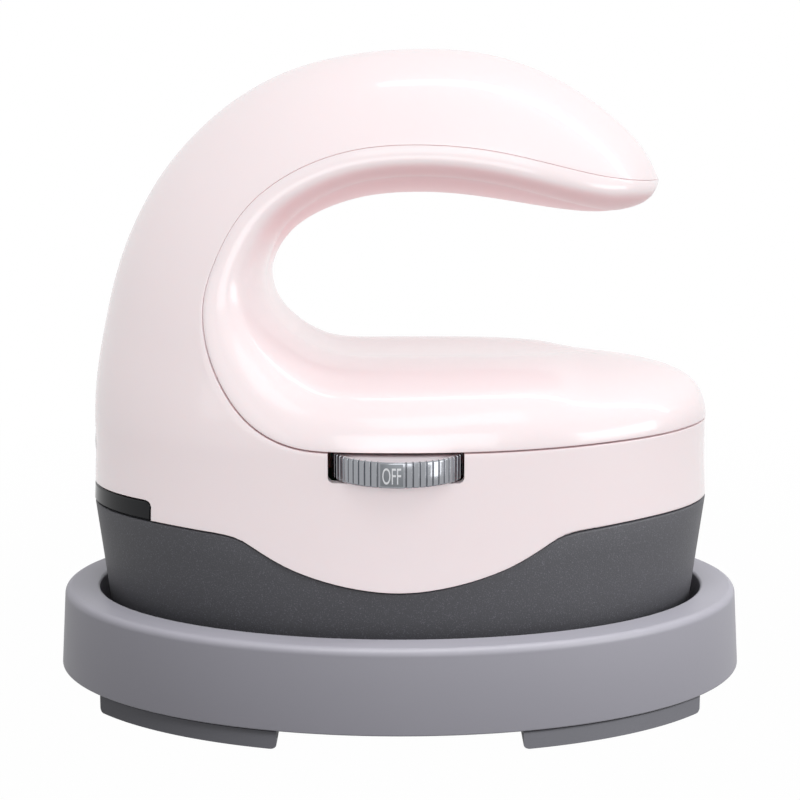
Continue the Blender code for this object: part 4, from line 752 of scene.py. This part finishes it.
def finish(name):
    """The material of a finish, made on its first use."""
    made = bpy.data.materials.get(name)
    if made:
        return made
    colour, rough, tone, values, more = FINISHES[name]
    return surface(name, paint_of(colour), rough, tone, values, **more)


def noise(tree, size, detail):
    """Noise of a size in millimetres, fixed to the piece."""
    here = add_node(tree, "TexCoord").outputs["Object"]
    return add_node(tree, "TexNoise", {"Scale": 1000.0 / size, "Detail": detail},
                    {"Vector": here}).outputs["Fac"]


def surface(name, colour, rough, tone, values, grain=None, fleck=None, spread=0.04, under=None):
    """Material with a slow tone change, a fine grain in relief, light flecks and faces down painted a deeper
    colour as painted shade and shining less.
    """
    material, tree, shader = base_material(name, values)
    shader.inputs["Base Color"].default_value = (*colour, 1.0)
    shader.inputs["Roughness"].default_value = rough
    slow = noise(tree, tone[0], 3.0)
    dark = tuple(c * (1 - tone[1]) for c in colour)
    paint = add_node(tree, "Mix", {"A": (*dark, 1.0), "B": (*colour, 1.0)}, {"Factor": slow},
                     data_type="RGBA").outputs["Result"]
    if fleck:
        size, threshold, light = fleck
        step = add_node(tree, "MapRange", {"From Min": threshold, "From Max": threshold + FLECK_SOFTNESS},
                        {"Value": noise(tree, size, 1.0)})
        paint = add_node(tree, "Mix", {"B": (*paint_of(light), 1.0)},
                         {"Factor": step.outputs["Result"], "A": paint}, data_type="RGBA").outputs["Result"]
    # Painted shade: faces that look down blend to a deeper colour for the missing white light and the pink
    # bounce light, and their coat and specular drop
    if under:
        normal = add_node(tree, "NewGeometry").outputs["Normal"]
        facing = add_node(tree, "SeparateXYZ", {}, {"Vector": normal})
        down = add_node(tree, "MapRange", FACING_DOWN, {"Value": facing.outputs["Z"]},
                        interpolation_type="SMOOTHSTEP").outputs["Result"]
        paint = add_node(tree, "Mix", {"B": (*paint_of(under), 1.0)}, {"Factor": down, "A": paint},
                         data_type="RGBA").outputs["Result"]
        for key, least in (("Coat Weight", 0.0), ("Specular IOR Level", 0.1)):
            level = add_node(tree, "MapRange", {"To Min": shader.inputs[key].default_value, "To Max": least},
                             {"Value": down})
            tree.links.new(level.outputs["Result"], shader.inputs[key])
    tree.links.new(paint, shader.inputs["Base Color"])
    wear = add_node(tree, "MapRange", {"To Min": rough - spread, "To Max": rough + spread}, {"Value": slow})
    tree.links.new(wear.outputs["Result"], shader.inputs["Roughness"])
    if grain:
        relief = add_node(tree, "Bump", {"Strength": 1.0, "Distance": grain[1] / 1000.0},
                          {"Height": noise(tree, grain[0], 2.0)})
        tree.links.new(relief.outputs["Normal"], shader.inputs["Normal"])
    return material


def seen_by_eye(tree):
    """One for camera, glossy and transmission rays, nothing for the rest."""
    ray = add_node(tree, "LightPath").outputs
    either = add_node(tree, "Math", {}, {0: ray["Is Camera Ray"], 1: ray["Is Glossy Ray"]},
                      operation="MAXIMUM")
    return add_node(tree, "Math", {}, {0: either.outputs[0], 1: ray["Is Transmission Ray"]},
                    operation="MAXIMUM").outputs[0]


# Operators, one for each piece or group of like pieces

class HEATPRESS_OT_inner_parts(bpy.types.Operator):
    """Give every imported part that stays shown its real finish."""

    bl_idname = "heat_press.inner_parts"
    bl_label = "Inner parts"

    def execute(self, context):
        """Look up each node's slot in the record and put that finish on its mesh."""
        for entry in frame["record"]["subparts"]:
            mesh = frame["nodes"][entry["node"]].data
            mesh.materials.clear()
            mesh.materials.append(finish(SLOT_FINISHES[entry["material_slot"]]))
            mesh.polygons.foreach_set("material_index", np.zeros(len(mesh.polygons), np.int32))
        return {"FINISHED"}


class HEATPRESS_OT_outer_shell(bpy.types.Operator):
    """Make the outer shell with its dial window, lens notch and bush hole."""

    bl_idname = "heat_press.outer_shell"
    bl_label = "Outer shell"

    def execute(self, context):
        """Thick skin between the seam and the outline, rims rounded, then the openings carved."""
        outer = shell_grid()
        at, _, _, out, _, _ = stations()
        outer[:, 0] = pulled_back(outer[:, 0], outer[:, 1], out * seam_softness(at))
        outer[-1] = outer[-1, 0]
        normal = grid_normals(outer)
        depth = np.linalg.norm(outer[:, -1] - outer[:, 0], axis=1)
        thinned = np.clip(depth / NOSE_TAPER * 2, NOSE_WALL_SHARE, 1)
        wall = SHELL_WALL * np.where(at < CORNER_STATION, 1.0, thinned)[:, None]
        fade = np.clip((at[-1] - at) / 2, 0, 1)[:, None] * seam_softness(at)
        across = unit(outer[:, 1] - outer[:, 0])
        seam_rim = rounded_rim(outer[:, 0], -across, normal[:, 0], sizes().edge * fade, wall)
        below = np.where(at <= CORNER_STATION, 1.0, 0.0)[:, None]
        across = unit(outer[:, -1] - outer[:, -2])
        foot_rim = rounded_rim(outer[:, -1], across, normal[:, -1], sizes().edge * below, wall)
        inner = outer - normal * wall[:, :, None]
        section = np.concatenate([seam_rim[:, ::-1], outer[:, 1:-1], foot_rim, inner[:, -2:0:-1]], axis=1)
        rows, columns = section.shape[:2]
        keep = np.ones((rows - 1, columns), bool)
        first = seam_rim.shape[1] + outer.shape[1] - 2
        section[CORNER_STATION * STEPS:, first:first + foot_rim.shape[1], 1] = 0.0
        keep[CORNER_STATION * STEPS:, first:first + foot_rim.shape[1] - 1] = False
        faces = grid_faces(rows, columns, False, True, keep)
        mesh = both_sides("outer_shell_skin", section, faces)
        left, right = WINDOW_X - WINDOW_LENGTH / 2, WINDOW_X + WINDOW_LENGTH / 2
        top = SEAM_Z + WINDOW_SPARE
        window = rounded_outline([(left, top), (left, WINDOW_LOW_Z), (right, WINDOW_LOW_Z), (right, top)],
                                 (0, WINDOW_CORNER, WINDOW_CORNER, 0))
        window = prism_mesh("window", window, -BODY_HALF_WIDTH - WINDOW_SPARE, DIAL_Y)
        hole = turned_mesh("hole", [(0, -0.1), (BUSH_RADIUS + GAP, -0.1), (BUSH_RADIUS + GAP, LENS_REACH_X),
                                    (0, LENS_REACH_X)], 48, "X", (0, 0, BUSH_Z))
        mesh = carve(mesh, window, hole)
        mesh.name = "outer_shell_skin"
        dress(mesh, "press", "pink_plastic", "outer_shell")
        return {"FINISHED"}


class HEATPRESS_OT_grip_cover(bpy.types.Operator):
    """Make the cover that lines the hand opening."""

    bl_idname = "heat_press.grip_cover"
    bl_label = "Grip cover"

    def execute(self, context):
        """Thick skin from the palm strip to the seam, with a rounded rim."""
        outer = cover_grid()
        at, _, _, out, _, _ = stations()
        outer[:, -1] = pulled_back(outer[:, -1], outer[:, -2], -out * seam_softness(at))
        outer[0] = outer[0, -1]
        outer[-1] = outer[-1, -1]
        normal = grid_normals(outer, STRIP_STEPS)
        fade = np.clip(np.minimum(at[-1] - at, at) / 2, 0, 1)[:, None]
        wall = COVER_WALL * (NOSE_WALL_SHARE + (1 - NOSE_WALL_SHARE) * fade)
        fade = fade * seam_softness(at)
        across = unit(outer[:, -1] - outer[:, -2])
        rim = rounded_rim(outer[:, -1], across, normal[:, -1], sizes().edge * fade, wall)
        inner = outer - normal * wall[:, :, None]
        section = np.concatenate([outer[:, :-1], rim, inner[:, :-1][:, ::-1]], axis=1)
        mesh = both_sides("grip_cover_skin", section, grid_faces(*section.shape[:2]))
        dress(mesh, "press", "pink_plastic", "grip_cover")
        return {"FINISHED"}


class HEATPRESS_OT_skirt(bpy.types.Operator):
    """Make the charcoal skirt under the shell."""

    bl_idname = "heat_press.skirt"
    bl_label = "Skirt"

    def execute(self, context):
        """Tapered oval wall whose upper edge follows the wavy line, rounded outside."""
        steps, edge = 240, sizes().skirt_edge
        angle = np.linspace(0, 2 * math.pi, steps, endpoint=False)
        c, s = np.cos(angle), np.sin(angle)

        def ring(inset, z):
            share = share_of(z, SKIRT_FOOT_Z, WAVE_LOW_Z + WAVE_RISE)
            a = SKIRT_FOOT_HALF_LENGTH + (SKIRT_TOP_HALF_LENGTH - SKIRT_FOOT_HALF_LENGTH) * share - inset
            b = SKIRT_FOOT_HALF_WIDTH + (BODY_HALF_WIDTH - SKIRT_FOOT_HALF_WIDTH) * share - inset
            return np.stack([a * c, b * s, np.broadcast_to(z, c.shape)], axis=1)

        top = wave_z(BODY_HALF_LENGTH * c) - GAP
        columns = [ring(0, SKIRT_FOOT_Z + edge), ring(0, LEDGE_LOW_Z)]
        columns += [ring(0, LEDGE_LOW_Z + (top - edge - LEDGE_LOW_Z) * share) for share in (0.35, 0.7, 1.0)]
        for turn in np.radians((22, 45, 67, 90)):
            columns.append(ring(edge * (1 - math.cos(turn)), top - edge * (1 - math.sin(turn))))
        columns += [ring(SKIRT_WALL, top), ring(SKIRT_WALL, LEDGE_LOW_Z), ring(SKIRT_WALL, SKIRT_FOOT_Z)]
        columns += [ring(edge, SKIRT_FOOT_Z), ring(edge * 0.3, SKIRT_FOOT_Z + edge * 0.3)]
        points = np.stack(columns, axis=1)
        mesh = grid_mesh("skirt_skin", points)
        dress(mesh, "press", "charcoal_plastic", "skirt")
        return {"FINISHED"}


class HEATPRESS_OT_lens(bpy.types.Operator):
    """Make the smoked band at the back of the shell."""

    bl_idname = "heat_press.lens"
    bl_label = "Rear lens"

    def execute(self, context):
        """Curved strip following the wall, its upper corners rounded."""
        limit = math.acos(-LENS_REACH_X / BODY_HALF_LENGTH)
        turn = np.linspace(-1, 1, 97)
        turn = np.sign(turn) * (1 - (1 - np.abs(turn)) ** LENS_EASE)
        angle = math.pi + limit * turn
        x = BODY_HALF_LENGTH * np.cos(angle)
        low = wave_z(x)
        inward = np.maximum(LENS_CORNER - (LENS_REACH_X - x), 0.0)
        top = LENS_TOP_Z - LENS_CORNER + np.sqrt(np.maximum(LENS_CORNER ** 2 - inward ** 2, 0.0))
        columns, soft = [], LENS_SOFT
        for inset, z in ((soft, low), (0, low + soft), (0, top - soft), (soft, top), (LENS_WALL, top),
                         (LENS_WALL, low)):
            a = wall_half_length(z) - inset
            across = np.minimum(a * np.cos(angle), LENS_REACH_X)
            reach = np.sqrt(np.maximum(1 - (across / a) ** 2, 0.0))
            aside = np.copysign((BODY_HALF_WIDTH - inset) * reach, np.sin(angle))
            columns.append(np.stack([across, aside, z], axis=1))
        points = np.stack(columns, axis=1)
        mesh = grid_mesh("rear_lens_band", points, False)
        dress(turned_outward(mesh, close=True), "press", "dark_lens", "indicator_lens")
        return {"FINISHED"}


class HEATPRESS_OT_cord_bush(bpy.types.Operator):
    """Make the flush bush the mains lead would leave through."""

    bl_idname = "heat_press.cord_bush"
    bl_label = "Cord bush"

    def execute(self, context):
        """Turned ring with a rounded mouth about the X axis."""
        low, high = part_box("cord_gland")
        soft, collar, seat = BUSH_SOFT, high.z - BUSH_Z, low.x + BUSH_SEAT
        profile = [(BUSH_BORE_RADIUS, high.x), (BUSH_BORE_RADIUS, low.x + soft),
                   (BUSH_BORE_RADIUS + soft * 0.3, low.x + soft * 0.3), (BUSH_BORE_RADIUS + soft, low.x),
                   (BUSH_RADIUS - soft, low.x), (BUSH_RADIUS - soft * 0.3, low.x + soft * 0.3),
                   (BUSH_RADIUS, low.x + soft), (BUSH_RADIUS, seat), (collar, seat + GAP),
                   (collar, seat + BUSH_COLLAR), (BUSH_RADIUS, seat + BUSH_COLLAR), (BUSH_RADIUS, high.x)]
        mesh = turned_mesh("cord_bush_ring", profile, 72, "X", (0, 0, BUSH_Z))
        dress(mesh, "press", "black_plastic", "cord_gland")
        return {"FINISHED"}


class HEATPRESS_OT_thumbwheel(bpy.types.Operator):
    """Make the knurled heat dial with its smooth plates and marks."""

    bl_idname = "heat_press.thumbwheel"
    bl_label = "Thumbwheel"

    def execute(self, context):
        """Turned wheel; its radius falls between the ribs by a clipped cosine, but not on the plates."""
        turn = np.linspace(0, 360, DIAL_STEPS, endpoint=False) + DIAL_REST_TURN
        wave = np.cos(np.radians(turn - DIAL_REST_TURN) * sizes().ribs) * RIB_STEEPNESS - RIB_THRESHOLD
        dip = np.where(self.on_plate(turn), 0.0, np.clip(wave, 0, 1)) * sizes().rib_depth
        soft, high = DIAL_SOFT, DIAL_THICK
        table = [(DIAL_BORE, high, 0), (DIAL_HUB_RADIUS, high, 0), (DIAL_RADIUS * 0.75, high, 0)]
        table += [(DIAL_RADIUS - back, high - depth, 0) for back, depth in DIAL_GROOVE]
        rim = arc(DIAL_RADIUS - soft, high - soft, soft, (90, 60, 30, 0)) + [(DIAL_RADIUS, high * 0.5)]
        rim += arc(DIAL_RADIUS - soft, soft, soft, (0, -30, -60, -90))
        table += [(*point, 1) for point in rim]
        table += [(DIAL_HUB_RADIUS, 0, 0), (DIAL_HUB_RADIUS, -DIAL_HUB_DROP, 0),
                  (DIAL_BORE, -DIAL_HUB_DROP, 0)]
        table = np.array(table)
        radius = table[None, :, 0] - table[None, :, 2] * dip[:, None]
        angle = np.radians(turn)[:, None]
        points = np.stack([DIAL_X + radius * np.cos(angle), DIAL_Y + radius * np.sin(angle),
                           np.broadcast_to(DIAL_LOW_Z + table[None, :, 1], radius.shape)], axis=2)
        mesh = grid_mesh("thumbwheel_rim", points)
        dress(mesh, "dial", "chrome_plate", "thumbwheel", sharp=DIAL_SHARP_ANGLE)
        # Faces that look up take the lighter copy of the plating, which is painted light; the plates take the
        # grey plate finish
        for name in ("brushed_top", "satin_plate"):
            mesh.materials.append(finish(name))
        middle, normal = np.zeros(len(mesh.polygons) * 3), np.zeros(len(mesh.polygons) * 3)
        mesh.polygons.foreach_get("center", middle)
        mesh.polygons.foreach_get("normal", normal)
        middle, normal = middle.reshape(-1, 3) - (DIAL_X, DIAL_Y, 0), normal.reshape(-1, 3)
        level = np.abs(normal[:, 2])
        plate = self.on_plate(np.degrees(np.arctan2(middle[:, 1], middle[:, 0])), 0.4) & (level < 0.1)
        index = np.where(level > 0.9, 1, np.where(plate, 2, 0)).astype(np.int32)
        mesh.polygons.foreach_set("material_index", index)
        for stop, word in zip(DIAL_STOPS, DIAL_WORDS):
            self.mark(word, DIAL_REST_TURN + stop)
        return {"FINISHED"}

    def on_plate(self, turn, spare=0.0):
        """True where an angle in degrees lies on one of the smooth plates."""
        away = (np.asarray(turn)[:, None] - DIAL_REST_TURN - np.array(DIAL_STOPS) + 180.0) % 360.0 - 180.0
        return (np.abs(away) < DIAL_PLATE_TURN / 2 - spare).any(axis=1)

    def mark(self, word, turn):
        """Letters of a plain face bent round the plate: across becomes angle x / R, up stays up."""
        data = bpy.data.curves.new(f"dial_mark_{word.lower()}", "FONT")
        data.body = word
        data.align_x = "CENTER"
        data.align_y = "CENTER"
        data.size = sizes().letter / CAPITAL_SHARE
        data.extrude = LETTER_RAISE
        data.resolution_u = 6
        holder = placed(data.name, data)
        mesh = solved(holder)
        bpy.data.objects.remove(holder)
        mesh.name = f"dial_mark_{word.lower()}"
        co = np.zeros(len(mesh.vertices) * 3, np.float32)
        mesh.vertices.foreach_get("co", co)
        co = co.reshape(-1, 3)
        angle = math.radians(turn) + co[:, 0] * LETTER_WIDTH / DIAL_RADIUS
        radius = DIAL_RADIUS + co[:, 2]
        bent = np.stack([DIAL_X + radius * np.cos(angle), DIAL_Y + radius * np.sin(angle),
                         DIAL_LOW_Z + DIAL_THICK / 2 - LETTER_DROP + co[:, 1]], axis=1)
        mesh.vertices.foreach_set("co", np.ascontiguousarray(bent, np.float32).ravel())
        mesh.update()
        dress(mesh, "dial", "black_plastic", coat="printed_ink")


class HEATPRESS_OT_tray(bpy.types.Operator):
    """Make the safety tray with its thick rolled rim."""

    bl_idname = "heat_press.tray"
    bl_label = "Safety tray"

    def execute(self, context):
        """Oval profile: recess, foot round, wall, rim round, lip round, floor round and floor."""
        rim, lip, foot, floor = sizes().rim_round, sizes().lip_round, TRAY_FOOT_ROUND, TRAY_FLOOR_ROUND
        a, b = TRAY_HALF_LENGTH, TRAY_HALF_WIDTH
        ia, ib = TRAY_INNER_HALF_LENGTH, TRAY_INNER_HALF_WIDTH
        draft, slope = TRAY_DRAFT, TRAY_INNER_DRAFT
        flat, edge, low = TRAY_RECESS
        rows = [[(0, 0, TRAY_RECESS_Z), (*flat, TRAY_RECESS_Z), (*edge, TRAY_RECESS_Z), (*low, TRAY_LOW_Z)],
                arc_rows(a - foot, b - foot, TRAY_LOW_Z + foot, foot, -90, 0, 5),
                arc_rows(a - draft - rim, b - draft - rim, TRAY_RIM_Z - rim, rim, 0, 90, 10),
                arc_rows(ia + lip, ib + lip, TRAY_RIM_Z - lip, lip, 90, 180, 8),
                arc_rows(ia - slope - floor, ib - slope - floor, TRAY_FLOOR_Z + floor, floor, 0, -90, 6),
                [(*TRAY_FLOOR_MIDDLE, TRAY_FLOOR_Z), (0, 0, TRAY_FLOOR_Z)]]
        mesh = oval_mesh("safety_tray_body", np.concatenate([np.array(r) for r in rows]), 256)
        dress(mesh, "safety_base", "tray_plastic", "tray_base")
        return {"FINISHED"}


class HEATPRESS_OT_feet(bpy.types.Operator):
    """Make the four arc feet under the tray."""

    bl_idname = "heat_press.feet"
    bl_label = "Arc feet"

    def execute(self, context):
        """Strip section carried along the tray's oval; the end corners rise on quarter rounds."""
        inset = FOOT_INSET + FOOT_WIDTH * np.array([0, 1, 1, 0])
        a, b = TRAY_HALF_LENGTH - inset, TRAY_HALF_WIDTH - inset
        start, end = math.radians(FOOT_FROM_ANGLE), np.arccos(FOOT_END_X / a)
        share = 0.5 - 0.5 * np.cos(np.linspace(0, math.pi, FOOT_STEPS + 1))[:, None]
        angle = start + (end - start) * share
        length = (end[0] - start) * TRAY_HALF_WIDTH
        short = np.clip(FOOT_CORNER - length * np.minimum(share, 1 - share), 0, FOOT_CORNER)
        rise = FOOT_CORNER - np.sqrt(FOOT_CORNER ** 2 - short ** 2)
        z = rise * (1, 1, 0, 0) + np.array([0, 0, FOOT_HEIGHT, FOOT_HEIGHT])
        last = FOOT_STEPS * 4
        caps = np.array([[3, 2, 1, 0], [last, last + 1, last + 2, last + 3]])
        faces = np.concatenate([grid_faces(FOOT_STEPS + 1, 4, False, True), caps])
        for name, x_side, y_side in (("foot_front_far", 1, 1), ("foot_rear_far", -1, 1),
                                     ("foot_rear_near", -1, -1), ("foot_front_near", 1, -1)):
            points = np.stack([a * np.cos(angle) * x_side, b * np.sin(angle) * y_side, z], axis=2)
            mesh = turned_outward(mesh_from(f"{name}_strip", points.reshape(-1, 3), faces))
            piece = dress(mesh, "safety_base", "foot_rubber", name)
            bevel = piece.modifiers.new("edge", "BEVEL")
            bevel.width = sizes().foot_round
            bevel.segments = 3
            bevel.limit_method = "ANGLE"
            bevel.angle_limit = FOOT_BEVEL_ANGLE
        return {"FINISHED"}


class HEATPRESS_OT_rest_pads(bpy.types.Operator):
    """Make the silicone studs that carry the hot plate."""

    bl_idname = "heat_press.rest_pads"
    bl_label = "Rest pads"

    def execute(self, context):
        """Turned studs with a rounded top edge and a shallow dish."""
        top, low, soft = PLATE_LOW_Z - GAP, TRAY_FLOOR_Z + HAIR, PAD_SOFT
        profile = [(0, low), (PAD_RADIUS, low), *arc(PAD_RADIUS - soft, top - soft, soft, (0, 30, 60, 90)),
                   (PAD_RADIUS * 0.6, top - PAD_DISH / 2), (0, top - PAD_DISH)]
        for number, (x, y) in enumerate(((1, 1), (1, -1), (-1, 1), (-1, -1)), 1):
            mesh = turned_mesh(f"rest_pad_stud_{number}", profile, 56, "Z", (x * PAD_X, y * PAD_Y, 0))
            dress(mesh, "safety_base", "silicone", f"rest_pad_{number}")
        return {"FINISHED"}


class HEATPRESS_OT_stage(bpy.types.Operator):
    """Set the floor, the world, the lamps and the camera."""

    bl_idname = "heat_press.stage"
    bl_label = "Studio"

    def execute(self, context):
        """White sweep, strip and softboxes above, in front and at the sides, small cards and a long lens."""
        context.scene.view_settings.view_transform = "Standard"
        self.floor()
        self.world(context.scene)
        for row in LAMPS:
            self.lamp(*row)
        self.camera(context.scene)
        return {"FINISHED"}

    def floor(self):
        """Wide pale disc that shows white yet keeps the soft shadow."""
        mesh = turned_mesh("floor_sweep", [(0, -SWEEP_THICK), (SWEEP_RADIUS, -SWEEP_THICK),
                                           (SWEEP_RADIUS, -HAIR), (0, -HAIR)], 96)
        material, tree, shader = base_material("white_sweep", {"Roughness": 0.9, "Specular IOR Level": 0.0})
        shader.inputs["Base Color"].default_value = (SWEEP_SHADE, SWEEP_SHADE, SWEEP_SHADE, 1.0)
        away = add_node(tree, "VectorMath", {}, {0: add_node(tree, "TexCoord").outputs["Object"]},
                        operation="LENGTH")
        spread = add_node(tree, "MapRange", GLOW, {"Value": away.outputs["Value"]})
        share = add_node(tree, "Math", {}, {0: seen_by_eye(tree), 1: spread.outputs["Result"]},
                         operation="MULTIPLY")
        glow = add_node(tree, "Emission", {"Color": (1, 1, 1, 1), "Strength": 1.0})
        both = add_node(tree, "MixShader", {},
                        {0: share.outputs[0], 1: shader.outputs[0], 2: glow.outputs[0]})
        tree.links.new(both.outputs[0], tree.nodes["Material Output"].inputs["Surface"])
        finished(mesh, material)

    def world(self, scene):
        """White to the eye and in reflections, and a plain soft fill for the rest."""
        scene.world = bpy.data.worlds.new("studio")
        scene.world.use_nodes = True
        tree = scene.world.node_tree
        tree.nodes.clear()
        shown = add_node(tree, "Background", {"Color": (1, 1, 1, 1), "Strength": 1.0})
        felt = add_node(tree, "Background", {"Color": (1, 1, 1, 1), "Strength": FILL})
        both = add_node(tree, "MixShader", {},
                        {0: seen_by_eye(tree), 1: felt.outputs[0], 2: shown.outputs[0]})
        add_node(tree, "OutputWorld", {}, {"Surface": both.outputs[0]})

    def lamp(self, name, place, width, height, power, starts=(), aim=AIM):
        """Soft rectangular lamp, unseen by the camera; one with starts is flagged off all other pieces."""
        reached = bpy.data.collections.new(name) if starts else None
        for piece in bpy.data.objects:
            if starts and piece.name.startswith(starts):
                reached.objects.link(piece)
        data = bpy.data.lights.new(name, "AREA")
        data.shape = "RECTANGLE"
        data.size, data.size_y, data.energy = width, height, power
        holder = placed(name, data)
        holder.location = place
        holder.rotation_euler = (Vector(aim) - Vector(place)).to_track_quat("-Z", "Y").to_euler()
        holder.visible_camera = False
        holder.light_linking.receiver_collection = reached

    def camera(self, scene):
        """Long lens straight on from the side, looking a little down."""
        data = bpy.data.cameras.new("camera")
        data.lens, data.sensor_width, data.clip_start = CAMERA_LENS, SENSOR_WIDTH, 0.01
        holder = placed("camera", data)
        pitch = math.radians(CAMERA_PITCH)
        holder.location = (0, -CAMERA_DISTANCE * math.cos(pitch),
                           CAMERA_TARGET_Z + CAMERA_DISTANCE * math.sin(pitch))
        holder.rotation_euler = (math.pi / 2 - pitch, 0, 0)
        scene.camera = holder


class HEATPRESS_PT_panel(bpy.types.Panel):
    """Lists the pieces, their sizes and their colours."""

    bl_idname = "HEATPRESS_PT_panel"
    bl_label = "Heat press"
    bl_space_type = "VIEW_3D"
    bl_region_type = "UI"
    bl_category = "Heat Press"

    def draw(self, context):
        """One button for each piece, then the sizes and the colours."""
        layout = self.layout
        for operator in PIECES:
            layout.operator(operator.bl_idname)
        for group in (context.scene.press_sizes, context.scene.press_colours):
            box = layout.box()
            for name in group.__annotations__:
                box.prop(group, name)


PIECES = (HEATPRESS_OT_inner_parts, HEATPRESS_OT_outer_shell, HEATPRESS_OT_grip_cover, HEATPRESS_OT_skirt,
          HEATPRESS_OT_lens, HEATPRESS_OT_cord_bush, HEATPRESS_OT_thumbwheel, HEATPRESS_OT_tray,
          HEATPRESS_OT_feet, HEATPRESS_OT_rest_pads, HEATPRESS_OT_stage)
CLASSES = (PressColours, PressSizes, *PIECES, HEATPRESS_PT_panel)


def register():
    """Register every class and hang the two groups on the scene."""
    for item in CLASSES:
        bpy.utils.register_class(item)
    bpy.types.Scene.press_colours = bpy.props.PointerProperty(type=PressColours)
    bpy.types.Scene.press_sizes = bpy.props.PointerProperty(type=PressSizes)


def unregister():
    """Take the two groups and every class away again."""
    del bpy.types.Scene.press_sizes
    del bpy.types.Scene.press_colours
    for item in reversed(CLASSES):
        bpy.utils.unregister_class(item)


def main():
    """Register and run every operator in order."""
    register()
    for operator in PIECES:
        group, name = operator.bl_idname.split(".")
        result = getattr(getattr(bpy.ops, group), name)()
        if "FINISHED" not in result:
            raise RuntimeError(f"{operator.bl_label} was not made")
    bpy.context.view_layer.update()


if __name__ == "__main__":
    main()
